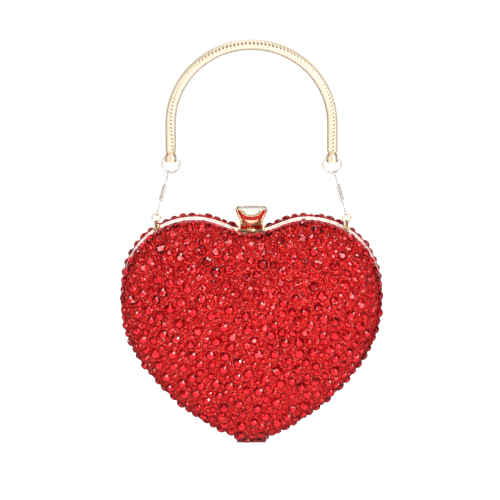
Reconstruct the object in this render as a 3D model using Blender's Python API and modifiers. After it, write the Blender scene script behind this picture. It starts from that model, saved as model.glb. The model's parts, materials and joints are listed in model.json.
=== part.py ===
# Heart shaped evening clutch with an arched snake chain handle.
# Two domed half cases stand in gold channel frames. They are hinged at the heart's tip and closed
# by a jewelled knob in the heart's notch. The case hangs from the handle by two jump rings, two
# sprung wire clips and two small rings on lugs.
# Metres, +Z up, the front faces -Y. The origin is the underside of the handle's crown.

import bpy
import bmesh
import math
import numpy as np
from mathutils import Matrix, Vector
from mathutils.geometry import interpolate_bezier

# Clearances shared by all pieces
gap = 0.0003
overrun = 0.004
rod_facets = 12
turned_facets = 16
sharp_angle = math.radians(35)

# Heart outline, measured on the outside of the frames
half_width = 0.081
heart_height = 0.1422
tip_handle_share = 0.124
flank_shares = (0.716, 0.259)
flank_slope = math.radians(49.8)
flank_handle_shares = (0.386, 0.370)
side_height_share = 0.654
side_handle_shares = (0.133, 0.208)
lobe_share = 0.432
lobe_handle_shares = (0.305, 0.189)
notch_height_share = 0.937
notch_handle_share = 0.143
arc_steps = (6, 6, 7, 5)
fine_factor = 12

# Channel frames: outer wall, web and inner wall, from the parting plane outwards
frame_depth = 0.0050
frame_wall = 0.0012
frame_web = 0.0012
inner_wall = 0.0010
inner_wall_depth = 0.0040

# Domed half cases
case_depth = 0.0260
shell_wall = 0.0012
cover_wall = 0.0007
lining_wall = 0.0005
dome_power = 2.25
centre_height_share = 0.56
core_shares = (0.80, 0.42)
core_blend = 1.5
dome_steps = ((16, 1), (33, 2), (50, 2), (67, 2), (80, 4))

# Set stones on the covers
large_stone = 0.0032
small_stone = 0.0019
stone_height = 0.0021
stone_sink = 0.0003
stone_table_share = 0.55
stone_fit_share = 0.90
stone_pitch = 0.0122
stone_facets = 5

# Handle
arch_radius = 0.0500
leg_length = 0.0177
chain_radius = 0.0033
chain_groove = 0.00045
chain_rib = 0.00245
chain_bore = 0.0016
core_wire_radius = 0.00115
arch_facets = 20
chain_resolution = 2

# End caps
cap_height = 0.0068
cap_neck_radius = 0.0030
cap_neck_height = 0.0015
cap_bell_radius = 0.0037
cap_flare_height = 0.0019
cap_round = 0.0004
spigot_length = 0.0040
cap_ring_drop = 0.0027
cap_slot_width = 0.0042
cap_slot_rise = 0.0003
cap_slot_facets = 32

# Rings, clips and lugs
jump_ring_radius = 0.0056
jump_ring_wire = 0.0006
jump_ring_facets = (20, 6)
clip_reach = 0.0277
clip_wire = 0.0004
clip_eye_radius = 0.0019
clip_tail_offset = 0.0011
clip_neck = 0.0030
clip_eye_steps = 11
spring_wire = 0.0003
spring_radius = 0.00105
spring_pitch = 0.00150
spring_turns = 7
coil_steps = 8
wire_resolution = 1
frame_ring_radius = 0.0026
frame_ring_wire = 0.0005
frame_ring_facets = (16, 6)
lug_place_share = 0.732
lug_rise = 0.0046
lug_thickness = 0.0016
lug_eye_radius = 0.0020
lug_hole_radius = 0.0010
lug_foot_range = (0.0007, 0.0043)
lug_foot_half_length = 0.0018
lug_foot_wall = 0.0009
lug_waist_shares = (0.45, 0.75)
lug_lean_share = 0.85
eye_facets = 16

# Hinge at the heart's tip
leaf_wall = 0.0008
leaf_half_length = 0.0090
leaf_start = 0.0021
strip_reach = 0.0050
hinge_drop = 0.0023
knuckle_radius = 0.0017
middle_knuckle = 0.0058
hinge_pin_radius = 0.0008
rivet_radius = 0.0006
rivet_head_radius = 0.0011
rivet_head_height = 0.0005
rivet_seat_gap = 0.0005
rivet_place = (0.0058, 0.0034)
rivet_share = 0.9
rivet_dome_share = 0.7
rivet_facets = 8

# Clasp
pivot_rise = 0.0033
pivot_back = 0.0026
pivot_radius = 0.00055
ear_radius = 0.0015
lever_half_width = 0.0080
lever_wall = 0.0008
lever_corner_steps = 6
lever_front = 0.0050
roof_rise = 0.0051
plate_wall = 0.0009
bracket_range = (0.0006, 0.0047)
twist_wire = 0.0002
twist_radius = 0.00105
twist_pitch = 0.00085
twist_turns = 4
twist_leg = 0.0024
twist_end_share = 0.5
keeper_half_width = 0.0030
keeper_height = 0.0008
keeper_range = (-0.0047, -0.0016)
basket_height = 0.0094
basket_base = (0.0064, 0.0042)
basket_rim = (0.0100, 0.0062)
basket_flare_share = 0.8
basket_wall = 0.0009
basket_floor = 0.0010
window_half_width = 0.0064
window_height = 0.0058
window_rim = 0.0010
basket_level_shares = (0, 0.35, 0.7, 1)
basket_corner_power = 2.6
basket_facets = 20
window_steps = 13
crystal_crown = 0.0012
crystal_table_share = 0.72
crystal_facets = 10


# Scene and object helpers

def clear_scene():
    for item in list(bpy.data.objects):
        bpy.data.objects.remove(item, do_unlink=True)


def new_collection(name):
    made = bpy.data.collections.new(name)
    bpy.context.scene.collection.children.link(made)
    return made


def material(name, colour, roughness, metallic=0.0):
    made = bpy.data.materials.new(name)
    made.use_nodes = True
    shader = made.node_tree.nodes["Principled BSDF"]
    shader.inputs["Base Color"].default_value = (*colour, 1.0)
    shader.inputs["Roughness"].default_value = roughness
    shader.inputs["Metallic"].default_value = metallic
    return made


def mesh_object(name, data):
    made = bpy.data.objects.new(name, data)
    clutch.objects.link(made)
    return made


def from_bmesh(name, solid):
    data = bpy.data.meshes.new(name)
    solid.to_mesh(data)
    solid.free()
    return mesh_object(name, data)


def frozen(made):
    """The evaluated shape of a curve or of a mesh with modifiers, as a plain closed mesh."""
    bpy.context.view_layer.update()
    graph = bpy.context.evaluated_depsgraph_get()
    data = bpy.data.meshes.new_from_object(made.evaluated_get(graph))
    data.transform(made.matrix_world)
    name = made.name
    bpy.data.objects.remove(made, do_unlink=True)
    solid = bmesh.new()
    solid.from_mesh(data)
    bmesh.ops.remove_doubles(solid, verts=solid.verts, dist=gap / 1000)
    solid.to_mesh(data)
    solid.free()
    data.name = name
    fresh = mesh_object(name, data)
    return fresh


def boolean(target, other, operation):
    step = target.modifiers.new(operation.lower(), "BOOLEAN")
    step.operation = operation
    step.solver = "EXACT"
    step.object = other
    made = frozen(target)
    bpy.data.objects.remove(other, do_unlink=True)
    return made


def cut(target, *cutters):
    for other in cutters:
        target = boolean(target, other, "DIFFERENCE")
    return target


def fused(target, *others):
    for other in others:
        target = boolean(target, other, "UNION")
    return target


def clipped(target, other):
    return boolean(target, other, "INTERSECT")


# Shape helpers

def block(name, x_range, y_range, z_range):
    solid = bmesh.new()
    bmesh.ops.create_cube(solid, size=1)
    low = Vector((x_range[0], y_range[0], z_range[0]))
    high = Vector((x_range[1], y_range[1], z_range[1]))
    for corner in solid.verts:
        share = corner.co + Vector((0.5, 0.5, 0.5))
        corner.co = Vector(a + (b - a) * s for a, b, s in zip(low, high, share))
    return from_bmesh(name, solid)


def rod(name, start, end, radius, facets=rod_facets):
    """A cylinder between two points."""
    start, end = Vector(start), Vector(end)
    along = end - start
    turn = along.to_track_quat("Z", "Y").to_matrix().to_4x4()
    place = Matrix.Translation((start + end) / 2) @ turn
    solid = bmesh.new()
    bmesh.ops.create_cone(solid, cap_ends=True, segments=facets, radius1=radius,
                          radius2=radius, depth=along.length, matrix=place)
    return from_bmesh(name, solid)


def ring(name, centre, radius, wire_radius, facets):
    """A closed ring of round wire that faces the front."""
    bpy.ops.mesh.primitive_torus_add(major_radius=radius, minor_radius=wire_radius,
                                     major_segments=facets[0], minor_segments=facets[1],
                                     location=centre, rotation=(math.radians(90), 0, 0))
    made = bpy.context.object
    made.name = name
    return frozen(made)


def flat_outline(name, outlines, thickness):
    """A flat piece from one outline and any holes, as a filled curve with an extrusion."""
    line = bpy.data.curves.new(name, "CURVE")
    line.dimensions = "2D"
    line.fill_mode = "BOTH"
    line.extrude = thickness / 2
    for outline in outlines:
        spline = line.splines.new("POLY")
        spline.points.add(len(outline) - 1)
        for point, (a, b) in zip(spline.points, outline):
            point.co = (a, b, 0, 1)
        spline.use_cyclic_u = True
    return mesh_object(name, line)


def front_plate(name, outlines, y_range):
    """A plate whose outline is drawn in X and Z, between two depths."""
    made = flat_outline(name, outlines, y_range[1] - y_range[0])
    made.rotation_euler = (math.radians(90), 0, 0)
    made.location = (0, (y_range[0] + y_range[1]) / 2, 0)
    return frozen(made)


def side_plate(name, outline, x_range):
    """A plate whose outline is drawn in Y and Z, between two places along X."""
    made = flat_outline(name, [outline], x_range[1] - x_range[0])
    made.matrix_world = Matrix(((0, 0, 1, (x_range[0] + x_range[1]) / 2),
                                (1, 0, 0, 0), (0, 1, 0, 0), (0, 0, 0, 1)))
    return frozen(made)


def tube(name, points, radius, resolution, swell=None):
    """A round wire along points, with a share of the radius at each if given."""
    line = bpy.data.curves.new(name, "CURVE")
    line.dimensions = "3D"
    line.twist_mode = "MINIMUM"
    line.bevel_depth = radius
    line.bevel_resolution = resolution
    line.use_fill_caps = True
    spline = line.splines.new("POLY")
    spline.points.add(len(points) - 1)
    for index, (point, place) in enumerate(zip(spline.points, points)):
        point.co = (*place, 1)
        point.radius = 1 if swell is None else swell[index]
    return frozen(mesh_object(name, line))


def turned(name, profile, place, facets=turned_facets):
    """A turned piece: radius and height pairs from the top down, round a vertical axis."""
    data = bpy.data.meshes.new(name)
    data.from_pydata([(r, 0, z) for r, z in profile],
                     [(i, i + 1) for i in range(len(profile) - 1)], [])
    made = mesh_object(name, data)
    made.location = place
    spin = made.modifiers.new("turning", "SCREW")
    spin.steps = facets
    spin.render_steps = facets
    spin.use_merge_vertices = True
    spin.merge_threshold = gap / 10
    return frozen(made)


def face_out(made):
    solid = bmesh.new()
    solid.from_mesh(made.data)
    bmesh.ops.recalc_face_normals(solid, faces=solid.faces)
    solid.to_mesh(made.data)
    solid.free()


def lofted(name, loops, joined=False):
    """A solid through loops of equal length. Its ends are capped, or joined to each other."""
    count = len(loops[0])
    points = [p for loop in loops for p in loop]
    faces = []
    for level in range(len(loops) if joined else len(loops) - 1):
        low, high = level * count, (level + 1) % len(loops) * count
        for i in range(count):
            j = (i + 1) % count
            faces.append((low + i, low + j, high + j, high + i))
    if not joined:
        faces.append(tuple(range(count)))
        faces.append(tuple(range(len(points) - count, len(points))))
    data = bpy.data.meshes.new(name)
    data.from_pydata(points, [], faces)
    made = mesh_object(name, data)
    face_out(made)
    return made


def mirrored(name, source):
    """The same piece on the other side of the parting plane."""
    data = source.data.copy()
    data.transform(Matrix.Diagonal((1, -1, 1, 1)))
    data.flip_normals()
    return mesh_object(name, data)


def circle(centre, radius, facets):
    turns = [2 * math.pi * i / facets for i in range(facets)]
    return [(centre[0] + radius * math.cos(t), centre[1] + radius * math.sin(t)) for t in turns]


# Heart outline

def heart_knots():
    """Knots of the right half from the tip to the notch: place, handle in, handle out."""
    flank = Vector((flank_shares[0] * half_width, flank_shares[1] * heart_height))
    slope = Vector((math.cos(flank_slope), math.sin(flank_slope)))
    side = Vector((half_width, side_height_share * heart_height))
    lobe = Vector((lobe_share * half_width, heart_height))
    notch = Vector((0, notch_height_share * heart_height))
    across = Vector((half_width, 0))
    upward = Vector((0, heart_height))
    tip = Vector((0, 0))
    return [
        (tip, tip, tip + across * tip_handle_share),
        (flank, flank - slope * half_width * flank_handle_shares[0],
         flank + slope * half_width * flank_handle_shares[1]),
        (side, side - upward * side_handle_shares[0], side + upward * side_handle_shares[1]),
        (lobe, lobe + across * lobe_handle_shares[0], lobe - across * lobe_handle_shares[1]),
        (notch, notch + across * notch_handle_share, notch),
    ]


def heart_line(steps):
    """Points of the whole outline, counter-clockwise from the tip, above the tip."""
    knots = heart_knots()
    half = []
    for (a, _, leave), (b, arrive, _), count in zip(knots, knots[1:], steps):
        half += [(p.x, p.y) for p in interpolate_bezier(a, leave, arrive, b, count + 1)][:-1]
    half = np.array(half + [tuple(knots[-1][0])])
    other = half[-2:0:-1] * (-1, 1)
    return np.vstack([half, other])


def outward(line):
    along = np.roll(line, -1, axis=0) - np.roll(line, 1, axis=0)
    normal = np.stack([along[:, 1], -along[:, 0]], axis=1)
    return normal / np.linalg.norm(normal, axis=1, keepdims=True)


def outline_height(x):
    """Height of the outline's top edge at x, on the outer slope of a lobe."""
    line = heart_line([fine_factor * n for n in arc_steps])
    upper = line[(line[:, 0] > lobe_share * half_width)
                 & (line[:, 1] > side_height_share * heart_height)]
    order = np.argsort(upper[:, 0])
    return float(np.interp(x, upper[order, 0], upper[order, 1]))


# Places worked out from the sizes, from the handle down to the heart's tip

arch_centre_z = chain_radius - arch_radius
leg_end_z = arch_centre_z - leg_length
cap_top_z = leg_end_z - gap
jump_axis_z = cap_top_z - cap_ring_drop
jump_centre_z = jump_axis_z - jump_ring_radius
hanger_length = jump_ring_radius + clip_reach + frame_ring_radius
clip_lean = math.asin((lug_place_share * half_width - arch_radius) / hanger_length)
clip_down = Vector((math.sin(clip_lean), 0, -math.cos(clip_lean)))
clip_top = Vector((arch_radius, 0, jump_centre_z)) + clip_down * jump_ring_radius
clip_foot = clip_top + clip_down * clip_reach
frame_ring_centre = clip_foot + clip_down * frame_ring_radius
lug_axis = frame_ring_centre - Vector((0, 0, frame_ring_radius))
tip_z = lug_axis.z - lug_rise - outline_height(lug_axis.x)
notch_z = tip_z + notch_height_share * heart_height
hinge_axis_z = tip_z - hinge_drop
pivot_z = notch_z + pivot_rise
basket_z = notch_z + roof_rise + lever_wall + gap
hollow_share = 1 - basket_floor / basket_height
heart = heart_line(arc_steps) + (0, tip_z)
heart_normal = outward(heart)
shell_inset = frame_wall + gap
channel_inside = shell_inset + shell_wall + gap
channel_width = channel_inside + inner_wall
parting = gap / 2
spring_line = frame_depth + gap


def heart_loop(inset):
    return heart - heart_normal * inset


def heart_plate(name, inset, y_range):
    return front_plate(name, [[tuple(p) for p in heart_loop(inset)]], y_range)


# Case

def channel_frame(name):
    """The back channel: a U section carried round the heart."""
    section = [(0, parting), (0, frame_depth), (frame_wall, frame_depth),
               (frame_wall, parting + frame_web), (channel_inside, parting + frame_web),
               (channel_inside, inner_wall_depth), (channel_width, inner_wall_depth),
               (channel_width, parting)]
    return lofted(name, [[(x, depth, z) for x, z in heart_loop(inset)]
                         for inset, depth in section], joined=True)


def dome_loops(start_depth):
    """Loops of the back dome from the frame to the crown, with fewer points further in."""
    middle = np.array((0, tip_z + centre_height_share * heart_height))
    rim = heart_loop(shell_inset)
    turn = np.arctan2(rim[:, 1] - middle[1], rim[:, 0] - middle[0])
    core = np.stack([core_shares[0] * half_width * np.cos(turn),
                     core_shares[1] * heart_height * np.sin(turn)], axis=1)
    loops = [[(x, start_depth, z) for x, z in rim]] if start_depth < spring_line else []
    loops.append([(x, spring_line, z) for x, z in rim])
    for degrees, thinning in dome_steps:
        angle = math.radians(degrees)
        size = math.cos(angle) ** (2 / dome_power)
        lift = math.sin(angle) ** (2 / dome_power)
        blend = (1 - size) ** core_blend
        loop = middle + size * ((1 - blend) * (rim - middle) + blend * core)
        depth = spring_line + (case_depth - spring_line) * lift
        loops.append([(x, depth, z) for x, z in loop[::thinning]])
    return loops, (middle[0], case_depth, middle[1])


def dome_sheet(name, start_depth):
    """The open dome surface as triangles, so that nested skins bend along the same lines."""
    loops, crown = dome_loops(start_depth)
    points, faces = [], []
    for outer, inner in zip(loops, loops[1:]):
        low, high, step = len(points), len(points) + len(outer), len(outer) // len(inner)
        for i in range(len(inner)):
            a, b, c = (low + (step * i + k) % len(outer) for k in range(3))
            d, e = high + i, high + (i + 1) % len(inner)
            faces += [(a, b, e), (a, e, d)] if step == 1 else [(a, b, d), (b, e, d), (b, c, e)]
        points += outer
    low, count = len(points), len(loops[-1])
    points += loops[-1] + [crown]
    faces += [(low + i, low + (i + 1) % count, low + count) for i in range(count)]
    data = bpy.data.meshes.new(name)
    data.from_pydata(points, [], faces)
    data.flip_normals()
    return mesh_object(name, data)


def skin(name, start_depth, near, wall):
    """A wall whose inner face stands at a distance outside the dome surface."""
    made = dome_sheet(name, start_depth)
    thick = made.modifiers.new("wall", "SOLIDIFY")
    thick.thickness = wall
    thick.offset = 1 + 2 * near / wall
    thick.use_even_offset = True
    return frozen(made)


def set_stones(cover):
    """Round cut stones fused to the cover, each on a flat of its outer face, a pitch apart."""
    core = Vector((0, case_depth / 2, tip_z + centre_height_share * heart_height))
    flats = []
    for face in cover.data.polygons:
        if len(face.vertices) != 3 or face.normal.dot(face.center - core) < 0:
            continue
        corners = [cover.data.vertices[i].co for i in face.vertices]
        room = 2 * face.area / sum((corners[i] - corners[i - 1]).length for i in range(3))
        if room * stone_fit_share > small_stone and face.center.y > spring_line + small_stone:
            flats.append((face.center.copy(), face.normal.copy(), room * stone_fit_share))
    solid = bmesh.new()
    taken = []
    for centre, normal, room in flats:
        if any((centre - other).length < stone_pitch for other in taken):
            continue
        taken.append(centre)
        radius = min(large_stone, room)
        turn = normal.to_track_quat("Z", "Y").to_matrix().to_4x4()
        place = Matrix.Translation(centre + normal * (stone_height / 2 - stone_sink))
        bmesh.ops.create_cone(solid, cap_ends=True, segments=stone_facets, radius1=radius,
                              radius2=radius * stone_table_share, depth=stone_height,
                              matrix=place @ turn)
    print("stones on a cover", len(taken), "of", len(flats), "flats")
    return fused(cover, from_bmesh("stones", solid))


def half_case():
    """The frame, shell, crystal cover and lining of the back half."""
    return {
        "frame": channel_frame("frame"),
        "shell": skin("shell", parting + frame_web + gap, -shell_wall, shell_wall),
        "crystal_cover": set_stones(skin("cover", spring_line, gap, cover_wall)),
        "lining": skin("lining", inner_wall_depth + gap,
                       -shell_wall - gap - lining_wall, lining_wall),
    }


# Hinge at the tip

def outline_strip(name, x_range, y_range, middle_z, wall, standing=()):
    """A strip a gap off the outside of the frames, fused with what stands on it."""
    reach = (min(y_range[0], 0) - overrun, max(y_range[1], 0) + overrun)
    strip = block(name, x_range, y_range, (middle_z - strip_reach, middle_z + strip_reach))
    strip = fused(clipped(strip, heart_plate("outside", -gap - wall, reach)), *standing)
    return cut(strip, heart_plate("inside", -gap, reach))


def outline_low(x):
    lower = heart[heart[:, 1] < tip_z + flank_shares[1] * heart_height]
    order = np.argsort(lower[:, 0])
    return float(np.interp(x, lower[order, 0], lower[order, 1]))


def rivet_spots():
    x, y = rivet_place
    return [(-x, y), (x, y)]


def rivet(name, x, y):
    """A rivet that rises through the leaf into the frame's outer wall."""
    floor = outline_low(x)
    seat = floor - gap - leaf_wall - rivet_seat_gap
    shank = floor + frame_wall * rivet_share - seat
    profile = [(0, shank), (rivet_radius, shank), (rivet_radius, 0), (rivet_head_radius, 0),
               (rivet_head_radius * rivet_dome_share, -rivet_head_height),
               (0, -rivet_head_height)]
    return turned(name, profile, (x, y, seat), facets=rivet_facets)


def rivet_holes():
    return [rod("rivet hole", (x, y, hinge_axis_z - overrun),
                (x, y, outline_low(x) + frame_wall + 2 * gap), rivet_radius + gap,
                facets=rivet_facets)
            for x, y in rivet_spots()]


def hinge_leaf(name, knuckles):
    """A leaf on the back frame's outside, with webs down to its knuckles."""
    webs = [block("web", (low + gap, high - gap), (parting, leaf_start + gap),
                  (hinge_axis_z, tip_z + strip_reach)) for low, high in knuckles]
    leaf = outline_strip(name, (-leaf_half_length, leaf_half_length),
                         (leaf_start, frame_depth - gap), tip_z, leaf_wall, webs)
    barrels = [rod("knuckle", (low, 0, hinge_axis_z), (high, 0, hinge_axis_z),
                   knuckle_radius) for low, high in knuckles]
    reach = leaf_half_length + overrun
    pin_hole = rod("pin hole", (-reach, 0, hinge_axis_z), (reach, 0, hinge_axis_z),
                   hinge_pin_radius + gap)
    return cut(fused(leaf, *barrels), pin_hole, *rivet_holes())


# Handle and hangers

def handle_stations(steps, end_run):
    """Places along the handle, from a run below the left leg's end to the right one's."""
    turns = [math.pi * (1 - i / steps) for i in range(steps + 1)]
    arch = [(arch_radius * math.cos(t), 0, arch_centre_z + arch_radius * math.sin(t))
            for t in turns]
    foot = leg_end_z - end_run
    return [(-arch_radius, 0, foot)] + arch + [(arch_radius, 0, foot)]


def chain():
    """A ribbed tube: each rib has a crest between two grooves."""
    length = 2 * leg_length + math.pi * arch_radius
    count = 2 * round(length / chain_rib)
    places = []
    for i in range(count + 1):
        run = length * i / count - leg_length
        turn = min(max(run / arch_radius, 0), math.pi)
        over = min(run, 0) + min(math.pi * arch_radius - run, 0)
        places.append((-arch_radius * math.cos(turn), 0,
                       arch_centre_z + arch_radius * math.sin(turn) + over))
    swell = [1 if i % 2 else 1 - chain_groove / chain_radius for i in range(count + 1)]
    made = tube("handle_chain", places, chain_radius, chain_resolution, swell)
    return cut(made, tube("bore", handle_stations(arch_facets, overrun), chain_bore,
                          chain_resolution))


def end_cap(name, side):
    """A turned bell with a spigot in the chain and an arched slot for its ring."""
    x = side * arch_radius
    flare = -cap_neck_height - cap_flare_height
    profile = [(0, spigot_length), (core_wire_radius, spigot_length), (core_wire_radius, 0),
               (cap_neck_radius, 0), (cap_neck_radius, -cap_neck_height),
               (cap_bell_radius, flare), (cap_bell_radius, cap_round - cap_height),
               (cap_bell_radius - cap_round, -cap_height), (0, -cap_height)]
    cap = turned(name, profile, (x, 0, cap_top_z))
    middle = (x, jump_centre_z)
    outer = jump_ring_radius + jump_ring_wire + gap + cap_slot_rise
    inner = jump_ring_radius - jump_ring_wire - gap
    slot = front_plate("slot", [circle(middle, outer, cap_slot_facets),
                                circle(middle, inner, cap_slot_facets)],
                       (-cap_slot_width / 2, cap_slot_width / 2))
    return cut(cap, slot)


def clip_place(side, origin, along, back, across=0.0):
    """A place on a clip: along it from an eye's centre, and to the back of it."""
    sideways = Vector((math.cos(clip_lean), 0, math.sin(clip_lean)))
    place = origin + clip_down * along + Vector((0, back, 0)) + sideways * across
    return Vector((side * place.x, place.y, place.z))


upper_eye = clip_top + clip_down * (clip_eye_radius - clip_wire - jump_ring_wire - gap)
lower_eye = clip_foot - clip_down * (clip_eye_radius - clip_wire - frame_ring_wire - gap)
shank = (lower_eye - upper_eye).length
spring_start = (shank - spring_turns * spring_pitch) / 2


def clip_wire_piece(name, side):
    """One wire: a tail, an eye, the straight shank, the other eye and its tail."""
    join = math.asin(clip_tail_offset / clip_eye_radius)
    eye = [(clip_eye_radius * math.cos(t), clip_eye_radius * math.sin(t))
           for t in np.linspace(join, 2 * math.pi - join, clip_eye_steps)]
    tail = (spring_start - spring_wire - gap, clip_tail_offset)
    neck = (eye[-1][0] + clip_neck, 0)
    upper = [tail] + eye + [neck]
    lower = [(shank - s, y) for s, y in reversed(upper)]
    return tube(name, [clip_place(side, upper_eye, s, y) for s, y in upper + lower],
                clip_wire, wire_resolution)


def clip_spring(name, side):
    points = [clip_place(side, upper_eye, spring_start + spring_pitch * share,
                         spring_radius * c, spring_radius * s)
              for share, c, s in coil_places(coil_steps * spring_turns)]
    report_gap(name, points, spring_wire)
    return tube(name, points, spring_wire, wire_resolution)


def coil_places(count):
    """Turns gone by, cosine and sine at each of a coil's points."""
    turns = [i / coil_steps for i in range(count + 1)]
    return [(t, math.cos(2 * math.pi * t), math.sin(2 * math.pi * t)) for t in turns]


def report_gap(name, points, wire_radius):
    """Prints the least gap between a coil's turns, half a turn or more apart."""
    least = min((a - b).length for i, a in enumerate(points) for b in points[i + coil_steps // 2 + 1:])
    print(name, "least gap to itself in mm", round((least - 2 * wire_radius) * 1000, 2))


def ring_lug(name, side):
    """An eye across X on a post, on a foot that follows the back frame's outside."""
    x, z = side * lug_axis.x, lug_axis.z
    eye_z = z - (lug_hole_radius - frame_ring_wire - gap)
    half = lug_thickness / 2
    front, back = lug_foot_range[0] + gap, lug_foot_range[1] - gap
    floor = z - lug_rise
    low = floor - overrun
    waist_front, waist_back = (floor + lug_rise * s for s in lug_waist_shares)
    post = side_plate(name, [(-lug_eye_radius * lug_lean_share, eye_z - lug_eye_radius / 2),
                             (front, waist_front), (front, low), (back, low),
                             (back, waist_front), (lug_eye_radius, waist_back),
                             (lug_eye_radius * lug_lean_share, eye_z + lug_eye_radius / 2)],
                      (x - half, x + half))
    eye = rod("eye", (x - half, 0, eye_z), (x + half, 0, eye_z), lug_eye_radius, facets=eye_facets)
    made = outline_strip(name, (x - lug_foot_half_length, x + lug_foot_half_length),
                         lug_foot_range, floor, lug_foot_wall, [fused(post, eye)])
    hole = rod("hole", (x - overrun, 0, eye_z), (x + overrun, 0, eye_z), lug_hole_radius)
    return cut(made, hole)


# Clasp

def ear(name, x_range, low):
    """An ear round the pivot, down to a height."""
    upright = block(name, x_range, (pivot_back - ear_radius, pivot_back + ear_radius),
                    (low, pivot_z))
    eye = rod("eye", (x_range[0], pivot_back, pivot_z), (x_range[1], pivot_back, pivot_z),
              ear_radius, facets=eye_facets)
    return fused(upright, eye)


def pivot_hole():
    reach = lever_half_width + overrun
    return rod("pivot hole", (-reach, pivot_back, pivot_z), (reach, pivot_back, pivot_z),
               pivot_radius + gap)


def clasp_bracket():
    outer = lever_half_width - lever_wall - gap
    ears = [ear("ear", x_range, notch_z) for x_range in
            ((gap - outer, lever_wall - outer), (outer - lever_wall, outer - gap))]
    plate = outline_strip("clasp_bracket", (-outer, outer), bracket_range, notch_z,
                          plate_wall, ears)
    return cut(plate, pivot_hole())


def clasp_lever():
    """A box that is open below and behind, and turns back on the pivot."""
    low = pivot_z - ear_radius
    roof = notch_z + roof_rise
    top = roof + lever_wall
    rear = pivot_back + ear_radius
    corner = [(pivot_back + ear_radius * math.sin(t), pivot_z - ear_radius * math.cos(t))
              for t in np.linspace(0, math.pi / 2, lever_corner_steps)]
    cheek = [(-lever_front, low)] + corner + [(rear, top), (-lever_front, top)]
    inner = lever_half_width - lever_wall
    made = side_plate("clasp_lever", cheek, (-lever_half_width, lever_half_width))
    room = block("room", (-inner, inner), (lever_wall - lever_front, rear + overrun),
                 (low - overrun, roof))
    return cut(made, room, pivot_hole())


def basket_loop(share, inset, z, count):
    """A loop of the basket's flared side, drawn in by an inset."""
    grown = share ** basket_flare_share
    half_x, half_y = (base + (rim - base) * grown - inset
                      for base, rim in zip(basket_base, basket_rim))
    points = []
    for i in range(count):
        turn = 2 * math.pi * i / count
        c, s = math.cos(turn), math.sin(turn)
        size = (abs(c) ** basket_corner_power + abs(s) ** basket_corner_power) \
            ** (-1 / basket_corner_power)
        points.append((half_x * c * size, half_y * s * size, z))
    return points


def clasp_basket():
    """A flared setting with a half-moon window in its front and back."""
    base, rim = basket_z, basket_z + basket_height
    levels = [(share, base + basket_height * share) for share in basket_level_shares]
    made = lofted("clasp_basket", [basket_loop(s, 0, z, basket_facets) for s, z in levels])
    hollow = [basket_loop(s, basket_wall, base + basket_floor + (z - base) * hollow_share,
                          basket_facets) for s, z in levels]
    hollow.append([(x, y, z + overrun) for x, y, z in hollow[-1]])
    made = cut(made, lofted("hollow", hollow))
    sill = rim - window_rim
    window = [(window_half_width * math.cos(t), sill + window_height * math.sin(t))
              for t in np.linspace(math.pi, 2 * math.pi, window_steps)]
    reach = basket_rim[1] + overrun
    return cut(made, front_plate("window", [window], (-reach, reach)))


def clasp_crystal():
    """A clear stone that fills the basket, cut with a flat table on a sloping crown."""
    base = basket_z
    inset = basket_wall + gap
    levels = [(s, base + basket_floor + basket_height * s * hollow_share)
              for s in basket_level_shares]
    loops = [basket_loop(s, inset, z, crystal_facets) for s, z in levels[:-1]]
    girdle = levels[-1][1] - crystal_crown
    rim_loop = basket_loop(basket_level_shares[-1], inset + crystal_crown, girdle,
                           crystal_facets)
    loops[0] = [(x, y, z + gap) for x, y, z in loops[0]]
    loops.append(rim_loop)
    loops.append([(x * crystal_table_share, y * crystal_table_share, levels[-1][1])
                  for x, y, _ in rim_loop])
    return lofted("clasp_crystal", loops)


def torsion_spring():
    """A coil round the pivot, with a leg under the lever's roof and one on the bracket."""
    count = round(coil_steps * (twist_turns + twist_end_share))
    start = -twist_pitch * twist_turns / 2
    coil = [Vector((start + twist_pitch * share, pivot_back + twist_radius * s,
                    pivot_z + twist_radius * c)) for share, c, s in coil_places(count)]
    report_gap("clasp_torsion_spring", coil, twist_wire)
    under_roof = notch_z + roof_rise - gap - twist_wire
    on_plate = notch_z + gap + plate_wall + gap + twist_wire
    upper = Vector((coil[0].x, pivot_back - twist_leg, under_roof))
    lower = Vector((coil[-1].x, bracket_range[0] + twist_wire, on_plate))
    return tube("clasp_torsion_spring", [upper] + coil + [lower], twist_wire,
                wire_resolution)


# Assembly

def seat(pieces, pivot, body):
    """Parents a body's pieces to an empty on its joint's axis."""
    axis = bpy.data.objects.new(body + "_axis", None)
    axis.location = pivot
    clutch.objects.link(axis)
    for name, (made, finish) in pieces.items():
        made.name = name
        made.data.name = name
        made.data.transform(Matrix.Translation(-Vector(pivot)))
        made.parent = axis
        made.data.materials.clear()
        made.data.materials.append(finish)
        made.data.shade_smooth()
        made.data.set_sharp_from_angle(angle=sharp_angle)


def build_handle():
    pieces = {
        "handle_chain": (chain(), gold),
        "handle_core_wire": (tube("core", handle_stations(arch_facets, -spigot_length - gap),
                                  core_wire_radius, wire_resolution), steel),
    }
    for word, side in sides:
        pieces[word + "_end_cap"] = (end_cap("cap", side), gold)
    seat(pieces, (0, 0, 0), "handle")


def build_hangers():
    """Left and right links in pairs, because each pair turns on one line."""
    jump_rings, clips, small_rings = {}, {}, {}
    for word, side in sides:
        centre = (side * arch_radius, 0, jump_centre_z)
        jump_rings[word + "_jump_ring"] = (
            ring("ring", centre, jump_ring_radius, jump_ring_wire, jump_ring_facets), silver)
        clips[word + "_clip_wire"] = (clip_wire_piece("wire", side), silver)
        clips[word + "_clip_spring"] = (clip_spring(word + "_clip_spring", side), silver)
        centre = (side * frame_ring_centre.x, 0, frame_ring_centre.z)
        small_rings[word + "_frame_ring"] = (
            ring("ring", centre, frame_ring_radius, frame_ring_wire, frame_ring_facets), gold)
    seat(jump_rings, (0, 0, jump_axis_z), "jump_rings")
    seat(clips, (0, 0, clip_top.z), "clips")
    seat(small_rings, (0, 0, clip_foot.z), "small_rings")


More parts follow.
